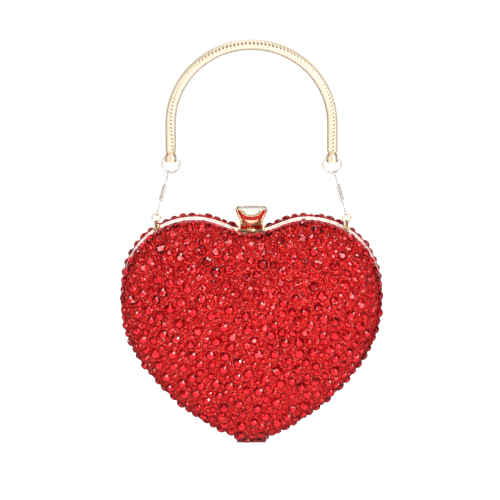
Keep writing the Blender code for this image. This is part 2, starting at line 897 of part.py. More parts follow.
def build_case():
    finishes = {"frame": gold, "shell": hard_shell, "crystal_cover": crystal_red,
                "lining": satin}
    half = half_case()
    half["frame"] = cut(half["frame"], *rivet_holes())
    front = {"front_" + part: (mirrored("front", made), finishes[part])
             for part, made in half.items()}
    back = {"back_" + part: (made, finishes[part]) for part, made in half.items()}
    middle = middle_knuckle / 2
    outer = [(-leaf_half_length, -middle - gap), (middle + gap, leaf_half_length)]
    back["back_hinge_leaf"] = (hinge_leaf("leaf", outer), gold)
    inner_leaf = hinge_leaf("leaf", [(-middle, middle)])
    front["front_hinge_leaf"] = (mirrored("leaf", inner_leaf), gold)
    bpy.data.objects.remove(inner_leaf, do_unlink=True)
    for (x, y), (word, _) in zip(rivet_spots(), sides):
        pin = rivet("rivet", x, y)
        back["back_" + word + "_hinge_rivet"] = (pin, gold)
        front["front_" + word + "_hinge_rivet"] = (mirrored("rivet", pin), gold)
    back["hinge_pin"] = (rod("pin", (-leaf_half_length - gap, 0, hinge_axis_z),
                             (leaf_half_length + gap, 0, hinge_axis_z),
                             hinge_pin_radius), steel)
    for word, side in sides:
        back[word + "_ring_lug"] = (ring_lug("lug", side), gold)
    back["clasp_bracket"] = (clasp_bracket(), gold)
    back["clasp_pivot_pin"] = (rod("pin", (-lever_half_width, pivot_back, pivot_z),
                                   (lever_half_width, pivot_back, pivot_z),
                                   pivot_radius), steel)
    back["clasp_torsion_spring"] = (torsion_spring(), steel)
    front["clasp_keeper"] = (outline_strip("keeper", (-keeper_half_width, keeper_half_width),
                                           keeper_range, notch_z, keeper_height), gold)
    seat(back, (0, 0, lug_axis.z), "back_half")
    seat(front, (0, 0, hinge_axis_z), "front_half")
    seat({"clasp_lever": (clasp_lever(), gold), "clasp_basket": (clasp_basket(), gold),
          "clasp_crystal": (clasp_crystal(), clear_stone)},
         (0, pivot_back, pivot_z), "clasp")


clear_scene()
clutch = new_collection("heart_clutch")
sides = (("left", -1), ("right", 1))
gold = material("pale gold plate", (0.86, 0.72, 0.46), 0.18, 1.0)
silver = material("rhodium plate", (0.82, 0.81, 0.78), 0.2, 1.0)
steel = material("bright steel", (0.62, 0.61, 0.60), 0.3, 1.0)
hard_shell = material("moulded shell", (0.09, 0.01, 0.012), 0.5)
crystal_red = material("red crystal", (0.55, 0.008, 0.02), 0.12)
satin = material("champagne satin", (0.62, 0.47, 0.30), 0.45)
clear_stone = material("clear cut stone", (0.92, 0.93, 0.94), 0.03)

build_handle()
build_hangers()
build_case()
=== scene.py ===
import bpy
import json
import math
import numpy as np
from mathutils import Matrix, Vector


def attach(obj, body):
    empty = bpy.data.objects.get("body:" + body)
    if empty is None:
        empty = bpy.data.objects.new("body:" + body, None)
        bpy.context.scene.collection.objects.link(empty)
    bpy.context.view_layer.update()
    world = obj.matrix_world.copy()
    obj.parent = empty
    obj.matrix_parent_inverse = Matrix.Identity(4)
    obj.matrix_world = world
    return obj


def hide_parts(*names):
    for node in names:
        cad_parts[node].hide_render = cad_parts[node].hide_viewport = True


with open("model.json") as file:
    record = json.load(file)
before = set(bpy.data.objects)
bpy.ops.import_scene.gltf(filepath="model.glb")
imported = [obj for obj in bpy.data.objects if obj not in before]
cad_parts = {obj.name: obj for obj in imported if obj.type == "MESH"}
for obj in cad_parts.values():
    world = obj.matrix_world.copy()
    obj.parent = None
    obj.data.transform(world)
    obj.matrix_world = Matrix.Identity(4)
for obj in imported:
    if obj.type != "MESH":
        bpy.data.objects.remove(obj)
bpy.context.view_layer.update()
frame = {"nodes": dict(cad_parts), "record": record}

# A heart clutch set with red stones, on an arched snake chain handle.
# Metres, +Z up, the front faces -Y, the origin is the underside of the handle's crown.
print("frame loaded")

chance = np.random.default_rng(11)
sides = (("left", -1), ("right", 1))
halves = (("front", -1), ("back", 1))


# Tools for colours, materials and meshes

def linear(hexCode):
    # an sRGB hex colour in linear light
    shares = [int(hexCode[i:i + 2], 16) / 255 for i in (1, 3, 5)]
    light = [s / 12.92 if s <= 0.04045 else ((s + 0.055) / 1.055) ** 2.4 for s in shares]
    return (*light, 1.0)


def addNode(tree, kind, sockets=None, **settings):
    # one node with its settings, where a socket is given a value or another node's output
    node = tree.nodes.new(kind)
    for name, value in settings.items():
        setattr(node, name, value)
    for name, value in (sockets or {}).items():
        if isinstance(value, bpy.types.NodeSocket):
            tree.links.new(value, node.inputs[name])
        else:
            node.inputs[name].default_value = value
    return node


def startMaterial(name, **sockets):
    # a material with constants set on the shader's own sockets
    made = bpy.data.materials.new(name)
    made.use_nodes = True
    shader = made.node_tree.nodes["Principled BSDF"]
    for key, value in sockets.items():
        shader.inputs[key.replace("_", " ")].default_value = value
    return made, made.node_tree, shader


def colourRamp(tree, factor, stops):
    # stops are pairs of place and hex colour
    ramp = addNode(tree, "ShaderNodeValToRGB", {"Fac": factor})
    while len(ramp.color_ramp.elements) < len(stops):
        ramp.color_ramp.elements.new(0.5)
    for element, (place, colour) in zip(ramp.color_ramp.elements, stops):
        element.position = place
        element.color = linear(colour)
    return ramp.outputs["Color"]


def objectCoordinates(tree):
    return addNode(tree, "ShaderNodeTexCoord").outputs["Object"]


def noiseValue(tree, scale, detail=2.0):
    # noise in the object's own space
    return addNode(tree, "ShaderNodeTexNoise", {"Vector": objectCoordinates(tree), "Scale": scale,
                                                "Detail": detail}).outputs["Fac"]


def rangeValue(tree, value, low, high, toLow=0.0, toHigh=1.0):
    # low to high of a value, carried to another range
    return addNode(tree, "ShaderNodeMapRange", {
        "Value": value, "From Min": low, "From Max": high, "To Min": toLow,
        "To Max": toHigh}).outputs["Result"]


def mathValue(tree, operation, *values):
    return addNode(tree, "ShaderNodeMath", dict(enumerate(values)), operation=operation).outputs[0]


def blendColour(tree, factor, first, second):
    return addNode(tree, "ShaderNodeMix", {"Factor": factor, "A": first, "B": second},
                   data_type="RGBA").outputs["Result"]


def faceTone(tree):
    # what a mesh holds for each face, from 0 dark to 1 light
    return addNode(tree, "ShaderNodeAttribute", attribute_name="tone").outputs["Fac"]


def addBump(tree, shader, height, strength, distance):
    bump = addNode(tree, "ShaderNodeBump", {"Height": height, "Strength": strength,
                                            "Distance": distance})
    tree.links.new(bump.outputs["Normal"], shader.inputs["Normal"])


def cloudedMaterial(name, scale, detail, stops, colourSocket="Base Color", **sockets):
    # a material whose colour drifts between close ones, with the noise that drives it
    made, tree, shader = startMaterial(name, **sockets)
    cloud = noiseValue(tree, scale, detail)
    tree.links.new(colourRamp(tree, cloud, stops), shader.inputs[colourSocket])
    return made, tree, shader, cloud


def turns(count, start=0.0):
    # even steps of a full turn, the first moved on by a share of a step
    return (np.arange(count) + start) * 2 * math.pi / count


def unit(rows):
    return rows / np.maximum(np.linalg.norm(rows, axis=-1, keepdims=True), 1e-12)


def gridFaces(rows, columns, roundRows=False, roundColumns=False):
    # quads between neighbours of a grid of points, joined round where a direction closes
    r = np.arange(rows if roundRows else rows - 1)[:, None]
    c = np.arange(columns if roundColumns else columns - 1)[None, :]
    r2, c2 = (r + 1) % rows, (c + 1) % columns
    quads = np.stack([r * columns + c, r * columns + c2, r2 * columns + c2, r2 * columns + c], -1)
    return quads.reshape(-1, 4)


def enclosed(points, groups):
    # signed volume: the sum over fans of a . (b x c) / 6
    total = 0.0
    for group in groups:
        for k in range(1, group.shape[1] - 1):
            a, b, c = points[group[:, 0]], points[group[:, k]], points[group[:, k + 1]]
            total += (a * np.cross(b, c)).sum() / 6
    return total


def turnedOut(points, groups):
    # all faces reversed where the shape they enclose comes out negative
    points = np.asarray(points, float).reshape(-1, 3)
    groups = [np.asarray(g) for g in groups if len(g)]
    if enclosed(points - points.mean(0), groups) < 0:
        groups = [g[:, ::-1] for g in groups]
    return points, groups


def joined(*parts):
    # several closed shapes as one list of points and faces
    allPoints, allGroups, start = [], [], 0
    for part in parts:
        points, groups = turnedOut(*part)
        allPoints.append(points)
        allGroups += [g + start for g in groups]
        start += len(points)
    return np.vstack(allPoints), allGroups


def makeMesh(name, points, groups):
    # groups are arrays of faces, one array for each number of corners
    corners = np.concatenate([g.ravel() for g in groups])
    counts = np.concatenate([np.full(len(g), g.shape[1]) for g in groups])
    data = bpy.data.meshes.new(name)
    data.vertices.add(len(points))
    data.vertices.foreach_set("co", points.astype(np.float32).ravel())
    data.loops.add(len(corners))
    data.loops.foreach_set("vertex_index", corners.astype(np.int32))
    data.polygons.add(len(counts))
    data.polygons.foreach_set("loop_start", (np.cumsum(counts) - counts).astype(np.int32))
    data.update(calc_edges=True)
    data.validate()
    return data


def placed(name, data):
    # an object in the scene, left at the origin
    made = bpy.data.objects.new(name, data)
    bpy.context.scene.collection.objects.link(made)
    return made


def makePiece(name, points, groups, material, body, stands=(), smooth=True, tone=None):
    # a mesh on a body, for a material slot, in place of the CAD nodes that it stands for
    data = makeMesh(name, *turnedOut(points, groups))
    data.polygons.foreach_set("use_smooth", np.full(len(data.polygons), smooth))
    if tone is not None:
        values = data.attributes.new("tone", "FLOAT", "FACE").data
        values.foreach_set("value", tone.astype(np.float32))
    data.materials.append(material)
    made = placed(name, data)
    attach(made, body)
    if stands:
        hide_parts(*stands)
    return made


def crease(piece, degrees):
    piece.data.set_sharp_from_angle(angle=math.radians(degrees))
    return piece


def applied(piece, kind, **settings):
    # a modifier made part of the mesh
    step = piece.modifiers.new(kind.lower(), kind)
    for name, value in settings.items():
        setattr(step, name, value)
    bpy.context.view_layer.update()
    graph = bpy.context.evaluated_depsgraph_get()
    piece.data = bpy.data.meshes.new_from_object(piece.evaluated_get(graph))
    piece.modifiers.clear()
    return piece


def prism(outline, low, high, axis):
    # a flat outline in the two other axes, carried straight along one axis and capped
    outline = np.asarray(outline, float)
    count = len(outline)
    points = np.zeros((2, count, 3))
    points[..., [k for k in range(3) if k != axis]] = outline
    points[0, :, axis], points[1, :, axis] = low, high
    ring = np.arange(count)
    nextRing = np.roll(ring, -1)
    walls = np.stack([ring, nextRing, count + nextRing, count + ring], -1)
    return points.reshape(-1, 3), [walls, np.stack([ring[::-1], count + ring])]


def capped(rows, ends=None):
    # a grid of closed loops with a point at each end, in the middle of its loop unless given
    count, columns = rows.shape[:2]
    points = rows.reshape(-1, 3)
    ring = np.arange(columns)
    nextRing = np.roll(ring, -1)
    last = (count - 1) * columns
    first = np.stack([nextRing, ring, np.full(columns, len(points))], -1)
    second = np.stack([last + ring, last + nextRing, np.full(columns, len(points) + 1)], -1)
    fans = np.vstack([first, second])
    if ends is None:
        ends = np.stack([rows[0].mean(0), rows[-1].mean(0)])
    return np.vstack([points, ends]), [gridFaces(count, columns, False, True), fans]


def carried(path, across, outline, closed=False):
    # an outline (u, v) carried along a path: point = path + u * across + v * (tangent x across)
    path = np.asarray(path, float)
    if closed:
        along = unit(np.roll(path, -1, 0) - np.roll(path, 1, 0))
    else:
        along = unit(np.gradient(path, axis=0))
    across = np.broadcast_to(np.asarray(across, float), path.shape)
    across = unit(across - (across * along).sum(-1, keepdims=True) * along)
    up = np.cross(along, across)
    outline = np.asarray(outline, float)
    if outline.ndim == 2:
        outline = np.broadcast_to(outline, (len(path),) + outline.shape)
    points = path[:, None] + outline[..., :1] * across[:, None] + outline[..., 1:] * up[:, None]
    if closed:
        return points.reshape(-1, 3), [gridFaces(*points.shape[:2], True, True)]
    return capped(points, path[[0, -1]])


def roundOutline(radius, count):
    turn = turns(count)
    return np.stack([radius * np.cos(turn), radius * np.sin(turn)], -1)


def turnedPoints(profile, centre, count=48):
    # a profile of (radius, height) from the top pole to the bottom pole, turned round +Z
    radius, height = np.asarray(profile, float).T[..., None]
    turn = turns(count)
    rows = np.stack([radius * np.cos(turn), radius * np.sin(turn), height + 0 * turn], -1) + centre
    return capped(rows[1:-1], rows[[0, -1], 0])


def softened(corners, radius, steps=3):
    # an outline with each corner rounded: a quadratic curve from radius before to radius after it
    corners = np.asarray(corners, float)
    before, after = np.roll(corners, 1, 0) - corners, np.roll(corners, -1, 0) - corners
    share = np.linspace(0, 1, steps)[None, :, None]
    reachBack = np.minimum(radius, np.linalg.norm(before, axis=1) * 0.45)[:, None]
    reachOn = np.minimum(radius, np.linalg.norm(after, axis=1) * 0.45)[:, None]
    start = (corners + unit(before) * reachBack)[:, None]
    end = (corners + unit(after) * reachOn)[:, None]
    middle = corners[:, None]
    curve = (1 - share) ** 2 * start + 2 * share * (1 - share) * middle + share ** 2 * end
    return curve.reshape(-1, 2)


# The heart's outline and domes, in the CAD's own sizes

heart = {
    "halfWidth": 0.081, "height": 0.1422, "tipZ": -0.250041,
    "tipReach": 0.124, "flank": (0.716, 0.259), "flankSlope": 49.8,
    "flankReach": (0.386, 0.370), "sideHeight": 0.654, "sideReach": (0.133, 0.208),
    "lobe": 0.432, "lobeReach": (0.305, 0.189), "notchHeight": 0.937, "notchReach": 0.143,
    "shellInset": 0.0015, "caseDepth": 0.0260, "springLine": 0.0053,
    "domePower": 2.25, "centreHeight": 0.56, "core": (0.80, 0.42), "coreBlend": 1.5,
    "spanPoints": 300, "linePoints": 1440, "typicalTurn": 0.12, "risePoints": 400,
}


def heartCurve():
    # five knots with cubic Bezier spans: p = (1-t)^3 a + 3(1-t)^2 t b + 3(1-t) t^2 c + t^3 d
    w, h = heart["halfWidth"], heart["height"]
    slope = np.array([math.cos(math.radians(heart["flankSlope"])),
                      math.sin(math.radians(heart["flankSlope"]))]) * w
    tip, flank = np.zeros(2), np.array([heart["flank"][0] * w, heart["flank"][1] * h])
    side, lobe = np.array([w, heart["sideHeight"] * h]), np.array([heart["lobe"] * w, h])
    notch = np.array([0, heart["notchHeight"] * h])
    across, upward = np.array([w, 0]), np.array([0, h])
    spans = [
        (tip, tip + across * heart["tipReach"], flank - slope * heart["flankReach"][0], flank),
        (flank, flank + slope * heart["flankReach"][1],
         side - upward * heart["sideReach"][0], side),
        (side, side + upward * heart["sideReach"][1], lobe + across * heart["lobeReach"][0], lobe),
        (lobe, lobe - across * heart["lobeReach"][1], notch + across * heart["notchReach"], notch),
    ]
    t = np.linspace(0, 1, heart["spanPoints"] + 1)[:-1, None]
    half = [(1 - t) ** 3 * a + 3 * (1 - t) ** 2 * t * b + 3 * (1 - t) * t ** 2 * c + t ** 3 * d
            for a, b, c, d in spans]
    half = np.vstack(half + [notch[None]])
    return np.vstack([half, half[-2:0:-1] * (-1, 1)]) + (0, heart["tipZ"])


def evenLoop(line, count):
    # the same closed line with points at equal steps of its length
    closedLine = np.vstack([line, line[:1]])
    run = np.concatenate([[0], np.cumsum(np.linalg.norm(np.diff(closedLine, axis=0), axis=1))])
    stops = np.arange(count) * run[-1] / count
    return np.stack([np.interp(stops, run, closedLine[:, k]) for k in range(2)], -1)


def insetLoop(line, inset):
    # each point moved inwards, square to the line
    along = unit(np.roll(line, -1, 0) - np.roll(line, 1, 0))
    return line - np.stack([along[:, 1], -along[:, 0]], -1) * inset


heartLine = evenLoop(heartCurve(), heart["linePoints"])
rimLine = insetLoop(heartLine, heart["shellInset"])
domeMiddle = np.array([0, heart["tipZ"] + heart["centreHeight"] * heart["height"]])


def domeAt(turn, rise):
    # rim and crown joined by a superellipse: size = cos(a)^(2/p), lift = sin(a)^(2/p) with
    # a = rise * 90; the loop changes from the heart to an oval core as it shrinks, and a rise
    # below 0 goes straight down
    place = (turn % 1) * len(rimLine)
    loop = np.vstack([rimLine, rimLine[:1]])
    rim = np.stack([np.interp(place, np.arange(len(loop)), loop[:, k]) for k in range(2)], -1)
    rim = rim - domeMiddle
    angle = np.clip(rise, 0, 1) * math.pi / 2
    size = np.maximum(np.cos(angle), 0) ** (2 / heart["domePower"])
    lift = np.sin(angle) ** (2 / heart["domePower"])
    bearing = np.arctan2(rim[..., 1], rim[..., 0])
    core = np.stack([heart["core"][0] * heart["halfWidth"] * np.cos(bearing),
                     heart["core"][1] * heart["height"] * np.sin(bearing)], -1)
    blend = ((1 - size) ** heart["coreBlend"])[..., None]
    flat = domeMiddle + size[..., None] * ((1 - blend) * rim + blend * core)
    spring = heart["springLine"]
    depth = spring + (heart["caseDepth"] - spring) * lift + np.minimum(rise, 0)
    return np.stack([flat[..., 0], depth, flat[..., 1]], -1)


def evenRise(count):
    # rises at equal steps of length along a typical meridian, from the rim to the crown
    fine = np.linspace(0, 1, heart["risePoints"])
    line = domeAt(np.full(heart["risePoints"], heart["typicalTurn"]), fine)
    run = np.concatenate([[0], np.cumsum(np.linalg.norm(np.diff(line, axis=0), axis=1))])
    return np.interp(np.linspace(0, run[-1], count), run, fine)


def discMesh(rings, skirt=0.0):
    # a disc of triangles: ring k from the crown has 6 k points, so all triangles are about alike
    ring = np.repeat(np.arange(1, rings + 1), 6 * np.arange(1, rings + 1))
    start = 1 + 3 * ring * (ring - 1)
    order = np.arange(1, 1 + 3 * rings * (rings + 1)) - start
    rises = evenRise(rings + 1)[::-1]
    rise = rises[ring]
    if skirt:
        rise = np.where(ring == rings, -skirt, rise)
    points = np.vstack([domeAt(np.zeros(1), np.ones(1)), domeAt(order / (6 * ring), rise)])
    within, sector = order % ring, order // ring
    inner = np.maximum(ring - 1, 1)
    innerStart = np.where(ring > 1, 1 + 3 * inner * (inner - 1), 0)
    nextOut = start + (order + 1) % (6 * ring)
    a = np.where(ring > 1, innerStart + (sector * inner + within) % (6 * inner), 0)
    b = np.where(ring > 1, innerStart + (sector * inner + within - 1) % (6 * inner), 0)
    outer = np.stack([start + order, nextOut, a], -1)
    keep = within > 0
    between = np.stack([start + order, a, b], -1)[keep]
    return points, np.vstack([outer, between])


def doubleDisc(outer, inner, triangles, rings):
    # two discs face to face, joined by a skirt round their rims
    ring = len(outer) - 6 * rings + np.arange(6 * rings)
    nextRing = np.roll(ring, -1)
    skirt = np.stack([ring, nextRing, len(outer) + nextRing, len(outer) + ring], -1)
    both = np.vstack([outer, inner])
    discs = np.vstack([triangles, triangles[:, ::-1] + len(outer)])
    if enclosed(both, [discs, skirt]) < 0:
        skirt = skirt[:, ::-1]
    return both, [discs, skirt]


def cornerNormals(points, triangles):
    # the sum of the faces' normals round each point
    a, b, c = (points[triangles[:, k]] for k in range(3))
    face = np.cross(b - a, c - a)
    total = np.zeros_like(points)
    for k in range(3):
        np.add.at(total, triangles[:, k], face)
    total = unit(total)
    return total if total[0, 1] > 0 else -total


def mirrorHalf(points, sign):
    return points * (1, sign, 1)


# Materials

def foiledCrystalMaterial():
    # Foil backed lead glass, cut and polished: the foil throws the light back deep red, facet by
    # facet lighter or darker, under a clear hard gloss. The pink and near white top of the tone
    # ramp, less metallic, is painted highlight for the facets that facetTones makes glints.
    made, tree, shader = startMaterial("foiledRedCrystal", Roughness=0.2, Coat_Weight=0.3,
                                       Coat_Roughness=0.04)
    tone = faceTone(tree)
    colour = colourRamp(tree, tone, [(0.0, "#22000A"), (0.2, "#6E020E"), (0.45, "#D00A1A"),
                                     (0.72, "#F2202C"), (0.86, "#FF7C80"), (1.0, "#FFCCC8")])
    tree.links.new(colour, shader.inputs["Base Color"])
    # painted highlight: tones from 0.74 to 0.92 turn from metallic to plain pink white
    tree.links.new(rangeValue(tree, tone, 0.74, 0.92, 0.85, 0.15), shader.inputs["Metallic"])
    return made


def crystalGritMaterial():
    # Crushed cut glass bedded in red resin: grains 0.5 mm across, each with its own colour and
    # tilt, so that single grains glint; the palest, pink white grains are painted glints.
    made, tree, shader = startMaterial("crystalGrit", Metallic=0.6, Roughness=0.32,
                                       Specular_IOR_Level=0.25)
    where = objectCoordinates(tree)
    grains = addNode(tree, "ShaderNodeTexVoronoi", {"Vector": where, "Scale": 1900.0})
    share = addNode(tree, "ShaderNodeSeparateColor", {"Color": grains.outputs["Color"]})
    # painted glints: the top of the ramp, pink white, for a few grains
    colour = colourRamp(tree, share.outputs["Red"], [(0.0, "#64030A"), (0.3, "#B60C12"),
                                                     (0.78, "#DA1E1C"), (0.95, "#EA4032"),
                                                     (1.0, "#FF8A78")])
    tree.links.new(colour, shader.inputs["Base Color"])
    centred = addNode(tree, "ShaderNodeVectorMath", {0: grains.outputs["Color"],
                                                     1: (0.5, 0.5, 0.5)}, operation="SUBTRACT")
    tilt = addNode(tree, "ShaderNodeVectorMath", {0: centred.outputs["Vector"], "Scale": 1.1},
                   operation="SCALE")
    facing = addNode(tree, "ShaderNodeNewGeometry").outputs["Normal"]
    added = addNode(tree, "ShaderNodeVectorMath", {0: facing, 1: tilt.outputs["Vector"]})
    even = addNode(tree, "ShaderNodeVectorMath", {0: added.outputs["Vector"]},
                   operation="NORMALIZE")
    tree.links.new(even.outputs["Vector"], shader.inputs["Normal"])
    return made


def plateMaterial(name, pale, deep, roughness):
    # Electroplated and polished metal: bright and even, with faint clouding and fine wipe marks.
    made, tree, shader = startMaterial(name, Metallic=1.0)
    cloud = noiseValue(tree, 180.0, 3.0)
    colour = blendColour(tree, cloud, linear(pale), linear(deep))
    tree.links.new(colour, shader.inputs["Base Color"])
    gloss = rangeValue(tree, cloud, 0.0, 1.0, roughness * 0.7, roughness * 1.4)
    tree.links.new(gloss, shader.inputs["Roughness"])
    addBump(tree, shader, noiseValue(tree, 2500.0), 0.05, 0.0001)
    return made


def chainMaterial():
    # Satin polished peach gold plate on brass links, with painted shade in the gaps between them:
    # darker where the gaps are deeper.
    made, tree, shader = startMaterial("peachGoldPlate", Metallic=0.6)
    colour = colourRamp(tree, faceTone(tree), [(0.0, "#4A3826"), (0.45, "#A88C68"),
                                               (0.8, "#EAD6B8"), (1.0, "#F3E4CE")])
    tree.links.new(colour, shader.inputs["Base Color"])
    gloss = rangeValue(tree, noiseValue(tree, 300.0, 3.0), 0.0, 1.0, 0.34, 0.46)
    tree.links.new(gloss, shader.inputs["Roughness"])
    return made


def shellMaterial():
    # Injection moulded ABS, dark red: satin, with the slight unevenness of the mould.
    made, tree, shader, grain = cloudedMaterial(
        "mouldedAbs", 900.0, 4.0, [(0.3, "#3A060B"), (0.7, "#4E0A10")], Roughness=0.42)
    addBump(tree, shader, grain, 0.1, 0.0001)
    return made


def satinMaterial():
    # Woven polyester satin: soft sheen and a fine twill of threads 0.25 mm apart.
    made, tree, shader, _ = cloudedMaterial(
        "champagneSatin", 60.0, 3.0, [(0.3, "#C9AA7C"), (0.7, "#DDC199")], Roughness=0.45,
        Sheen_Weight=0.4, Sheen_Roughness=0.4)
    turned = addNode(tree, "ShaderNodeMapping", {"Vector": objectCoordinates(tree),
                                                 "Rotation": (0, 0.6, 0)})
    weave = addNode(tree, "ShaderNodeTexWave", {"Vector": turned.outputs["Vector"],
                                                "Scale": 640.0, "Distortion": 0.6})
    addBump(tree, shader, weave.outputs["Fac"], 0.25, 0.0002)
    return made


def clearGlassMaterial():
    # Cut lead glass with silver foil behind it: nearly white, with faint pink and green fire
    # painted in as specks, and greyer towards the back of its table and crown.
    made, tree, shader = startMaterial("clearCutGlass", Metallic=0.5, Roughness=0.08)
    where = objectCoordinates(tree)
    # painted fire: pink and green specks stand in for the glass's coloured glints
    paintedFire = addNode(tree, "ShaderNodeTexVoronoi", {"Vector": where, "Scale": 700.0})
    share = addNode(tree, "ShaderNodeSeparateColor", {"Color": paintedFire.outputs["Color"]})
    colour = colourRamp(tree, share.outputs["Green"], [(0.0, "#F0D2CC"), (0.15, "#FFFDF4"),
                                                       (0.8, "#FDFBF0"), (0.93, "#DDEBD2"),
                                                       (1.0, "#CFCBC6")])
    axes = addNode(tree, "ShaderNodeSeparateXYZ", {"Vector": where})
    back = rangeValue(tree, axes.outputs["Y"], -0.0028, -0.0008)
    # the table and crown turn greyer towards the back
    greyerBehind = mathValue(tree, "MULTIPLY", faceTone(tree), back)
    both = blendColour(tree, greyerBehind, colour, linear("#8C8287"))
    tree.links.new(both, shader.inputs["Base Color"])
    return made


def enamelMaterial():
    # Translucent red enamel over gold, fired: glassy, darker where it pools.
    return cloudedMaterial("redEnamel", 500.0, 2.0, [(0.4, "#9E120A"), (0.6, "#D42C18")],
                           Roughness=0.3, Specular_IOR_Level=0.25)[0]


def shadeLacquerMaterial():
    # Dark red lacquer on the hinge's brass as painted shade, so that it sinks among the stones like
    # the shaded tip: worn a little paler.
    return cloudedMaterial("shadeRedLacquer", 700.0, 3.0, [(0.35, "#6A0810"), (0.7, "#9A141E")],
                           Metallic=0.15, Roughness=0.34)[0]


foiledCrystal = foiledCrystalMaterial()
crystalGrit = crystalGritMaterial()
paleGold = plateMaterial("paleGoldPlate", "#F7E6C6", "#EFD8AE", 0.14)
peachGold = chainMaterial()
satinGold = plateMaterial("satinGoldPlate", "#F0DCC2", "#E6CDAE", 0.36)
# the deep colour of the band's plate is pink: a painted reflection of the red stones, in clouded
# patches
bandGoldPaintedPink = plateMaterial("brightGoldPlatePaintedPink", "#FBEFE6", "#E6C2B4", 0.14)
rhodium = plateMaterial("rhodiumPlate", "#E8E3DC", "#D8D2CA", 0.25)
brightSteel = plateMaterial("brightSteel", "#BDBBB8", "#A9A7A4", 0.28)
mouldedAbs = shellMaterial()
champagneSatin = satinMaterial()
clearCutGlass = clearGlassMaterial()
redEnamel = enamelMaterial()
shadeRedLacquer = shadeLacquerMaterial()
print("materials made")


# Crystal covers: a bed of grit with stones set in it

bed = {"rings": 90, "distance": 0.0010, "wall": 0.0006, "grain": 0.00012, "rimReach": 0.009,
       "bulge": 0.0009, "bulgeAtTip": 0.1, "bulgeFrom": 0.3}


def byRim(places):
    # 1 at the rim, falling to 0 at rimReach above the spring line
    return np.clip(1 - (places[:, 1] - heart["springLine"]) / bed["rimReach"], 0, 1)


def aboveTip(places):
    # 0 at the heart's tip, 1 at its full height
    return np.clip((places[:, 2] - heart["tipZ"]) / heart["height"], 0, 1)


def bedDistance(places):
    # the bed is thicker in a bead along the rim, which grows from the tip to the lobes:
    # distance + bulge * (atTip + (1 - atTip) * share of height) * clip(byRim / from - 1)
    grown = bed["bulgeAtTip"] + (1 - bed["bulgeAtTip"]) * aboveTip(places)
    bead = grown * np.clip(byRim(places) / bed["bulgeFrom"] - 1, 0, 1)
    return (bed["distance"] + bed["bulge"] * bead)[:, None]


def crystalBed(word, sign):
    # the dome moved out by the bed's distance, each outer point shifted at random by a grain,
    # with the same dome a wall further in behind it
    points, triangles = discMesh(bed["rings"])
    normals = cornerNormals(points, triangles)
    shift = chance.uniform(-1, 1, (len(points), 1)) * bed["grain"]
    outer = points + normals * (bedDistance(points) + shift)
    inner = points + normals * (bed["distance"] - bed["wall"])
    both, groups = doubleDisc(outer, inner, triangles, bed["rings"])
    makePiece(word + "_crystal_bed", mirrorHalf(both, sign), groups, crystalGrit,
              word + "_half", (word + "_crystal_cover",), smooth=False)
    return points, triangles, normals


# rimRows: how many rings a row stands in from the rim, and the radii that it draws from
stones = {
    "radii": (0.0032, 0.0027, 0.0022, 0.0018, 0.0014, 0.0010, 0.0007),
    "tries": (500, 900, 1500, 2200, 3200, 5200, 7000),
    "spacing": (0.0009, 0.0006, 0.0005, 0.0004, 0.0003, 0.00025, 0.0002),
    "spacingSpread": (0.5, 1.5), "edge": 0.9, "most": 4000,
    "height": (0.60, 0.86), "sink": 0.00025, "tilt": 0.05,
    "rimRows": ((4, (0.0022, 0.0027, 0.0030, 0.0024)), (1, (0.0012, 0.0015, 0.0010, 0.0014)),
                (9, (0.0022, 0.0027, 0.0032, 0.0027))),
    "rimGap": 0.0002, "rimHeight": 0.72, "paintedRimShade": 0.08,
    "sparse": 0.5, "sparseOver": 0.0012, "sparseFrom": -0.178, "sparseRise": 0.03,
    "sparseHalf": 0.07, "sparseFade": 0.02,
    "cadTable": 0.55, "cadHeight": 0.0028, "cadReach": 0.8, "cadSpread": 1.5,
    "tipReach": (0.0018, 0.0014), "tipTurns": (-1, -0.6, -0.2, 0.2, 0.6, 1), "tipTurn": 0.029,
    "tipRise": (0.58, 0.42, -1.0), "brilliantOver": 0.0013,
}


def cadStones(word, sign, points, normals):
    # the CAD's own stones: its points far outside the dome, gathered by nearness, give each one's
    # middle and size, so that the larger stones stand in both models alike
    data = frame["nodes"][word + "_crystal_cover"].data
    corners = np.empty(len(data.vertices) * 3)
    data.vertices.foreach_get("co", corners)
    corners = mirrorHalf(corners.reshape(-1, 3), sign)
    coarse = points[::3]
    nearest = np.array([np.linalg.norm(coarse - c, axis=1).argmin() for c in corners])
    far = stones["cadHeight"] * stones["cadReach"]
    tops = corners[np.linalg.norm(corners - coarse[nearest], axis=1) > far]
    apart = np.linalg.norm(tops[:, None] - tops[None], axis=2)
    label = (apart < stones["radii"][0] * stones["cadSpread"]).argmax(1)
    found = []
    for one in np.unique(label):
        group = tops[label == one]
        middle = group.mean(0)
        index = np.linalg.norm(points + normals * stones["cadHeight"] - middle, axis=1).argmin()
        radius = np.linalg.norm(group - middle, axis=1).mean() / stones["cadTable"]
        found.append((points[index], normals[index], radius))
    return found


# shares of a stone's radius and of its height over the girdle's foot
cut = {"back": -0.3, "girdle": 0.22, "kite": (0.72, 0.76), "table": 0.44, "smallGirdle": 0.15,
       "smallTable": 0.52}


def lifted(flat, height):
    return np.column_stack([flat, np.full(len(flat), height)])


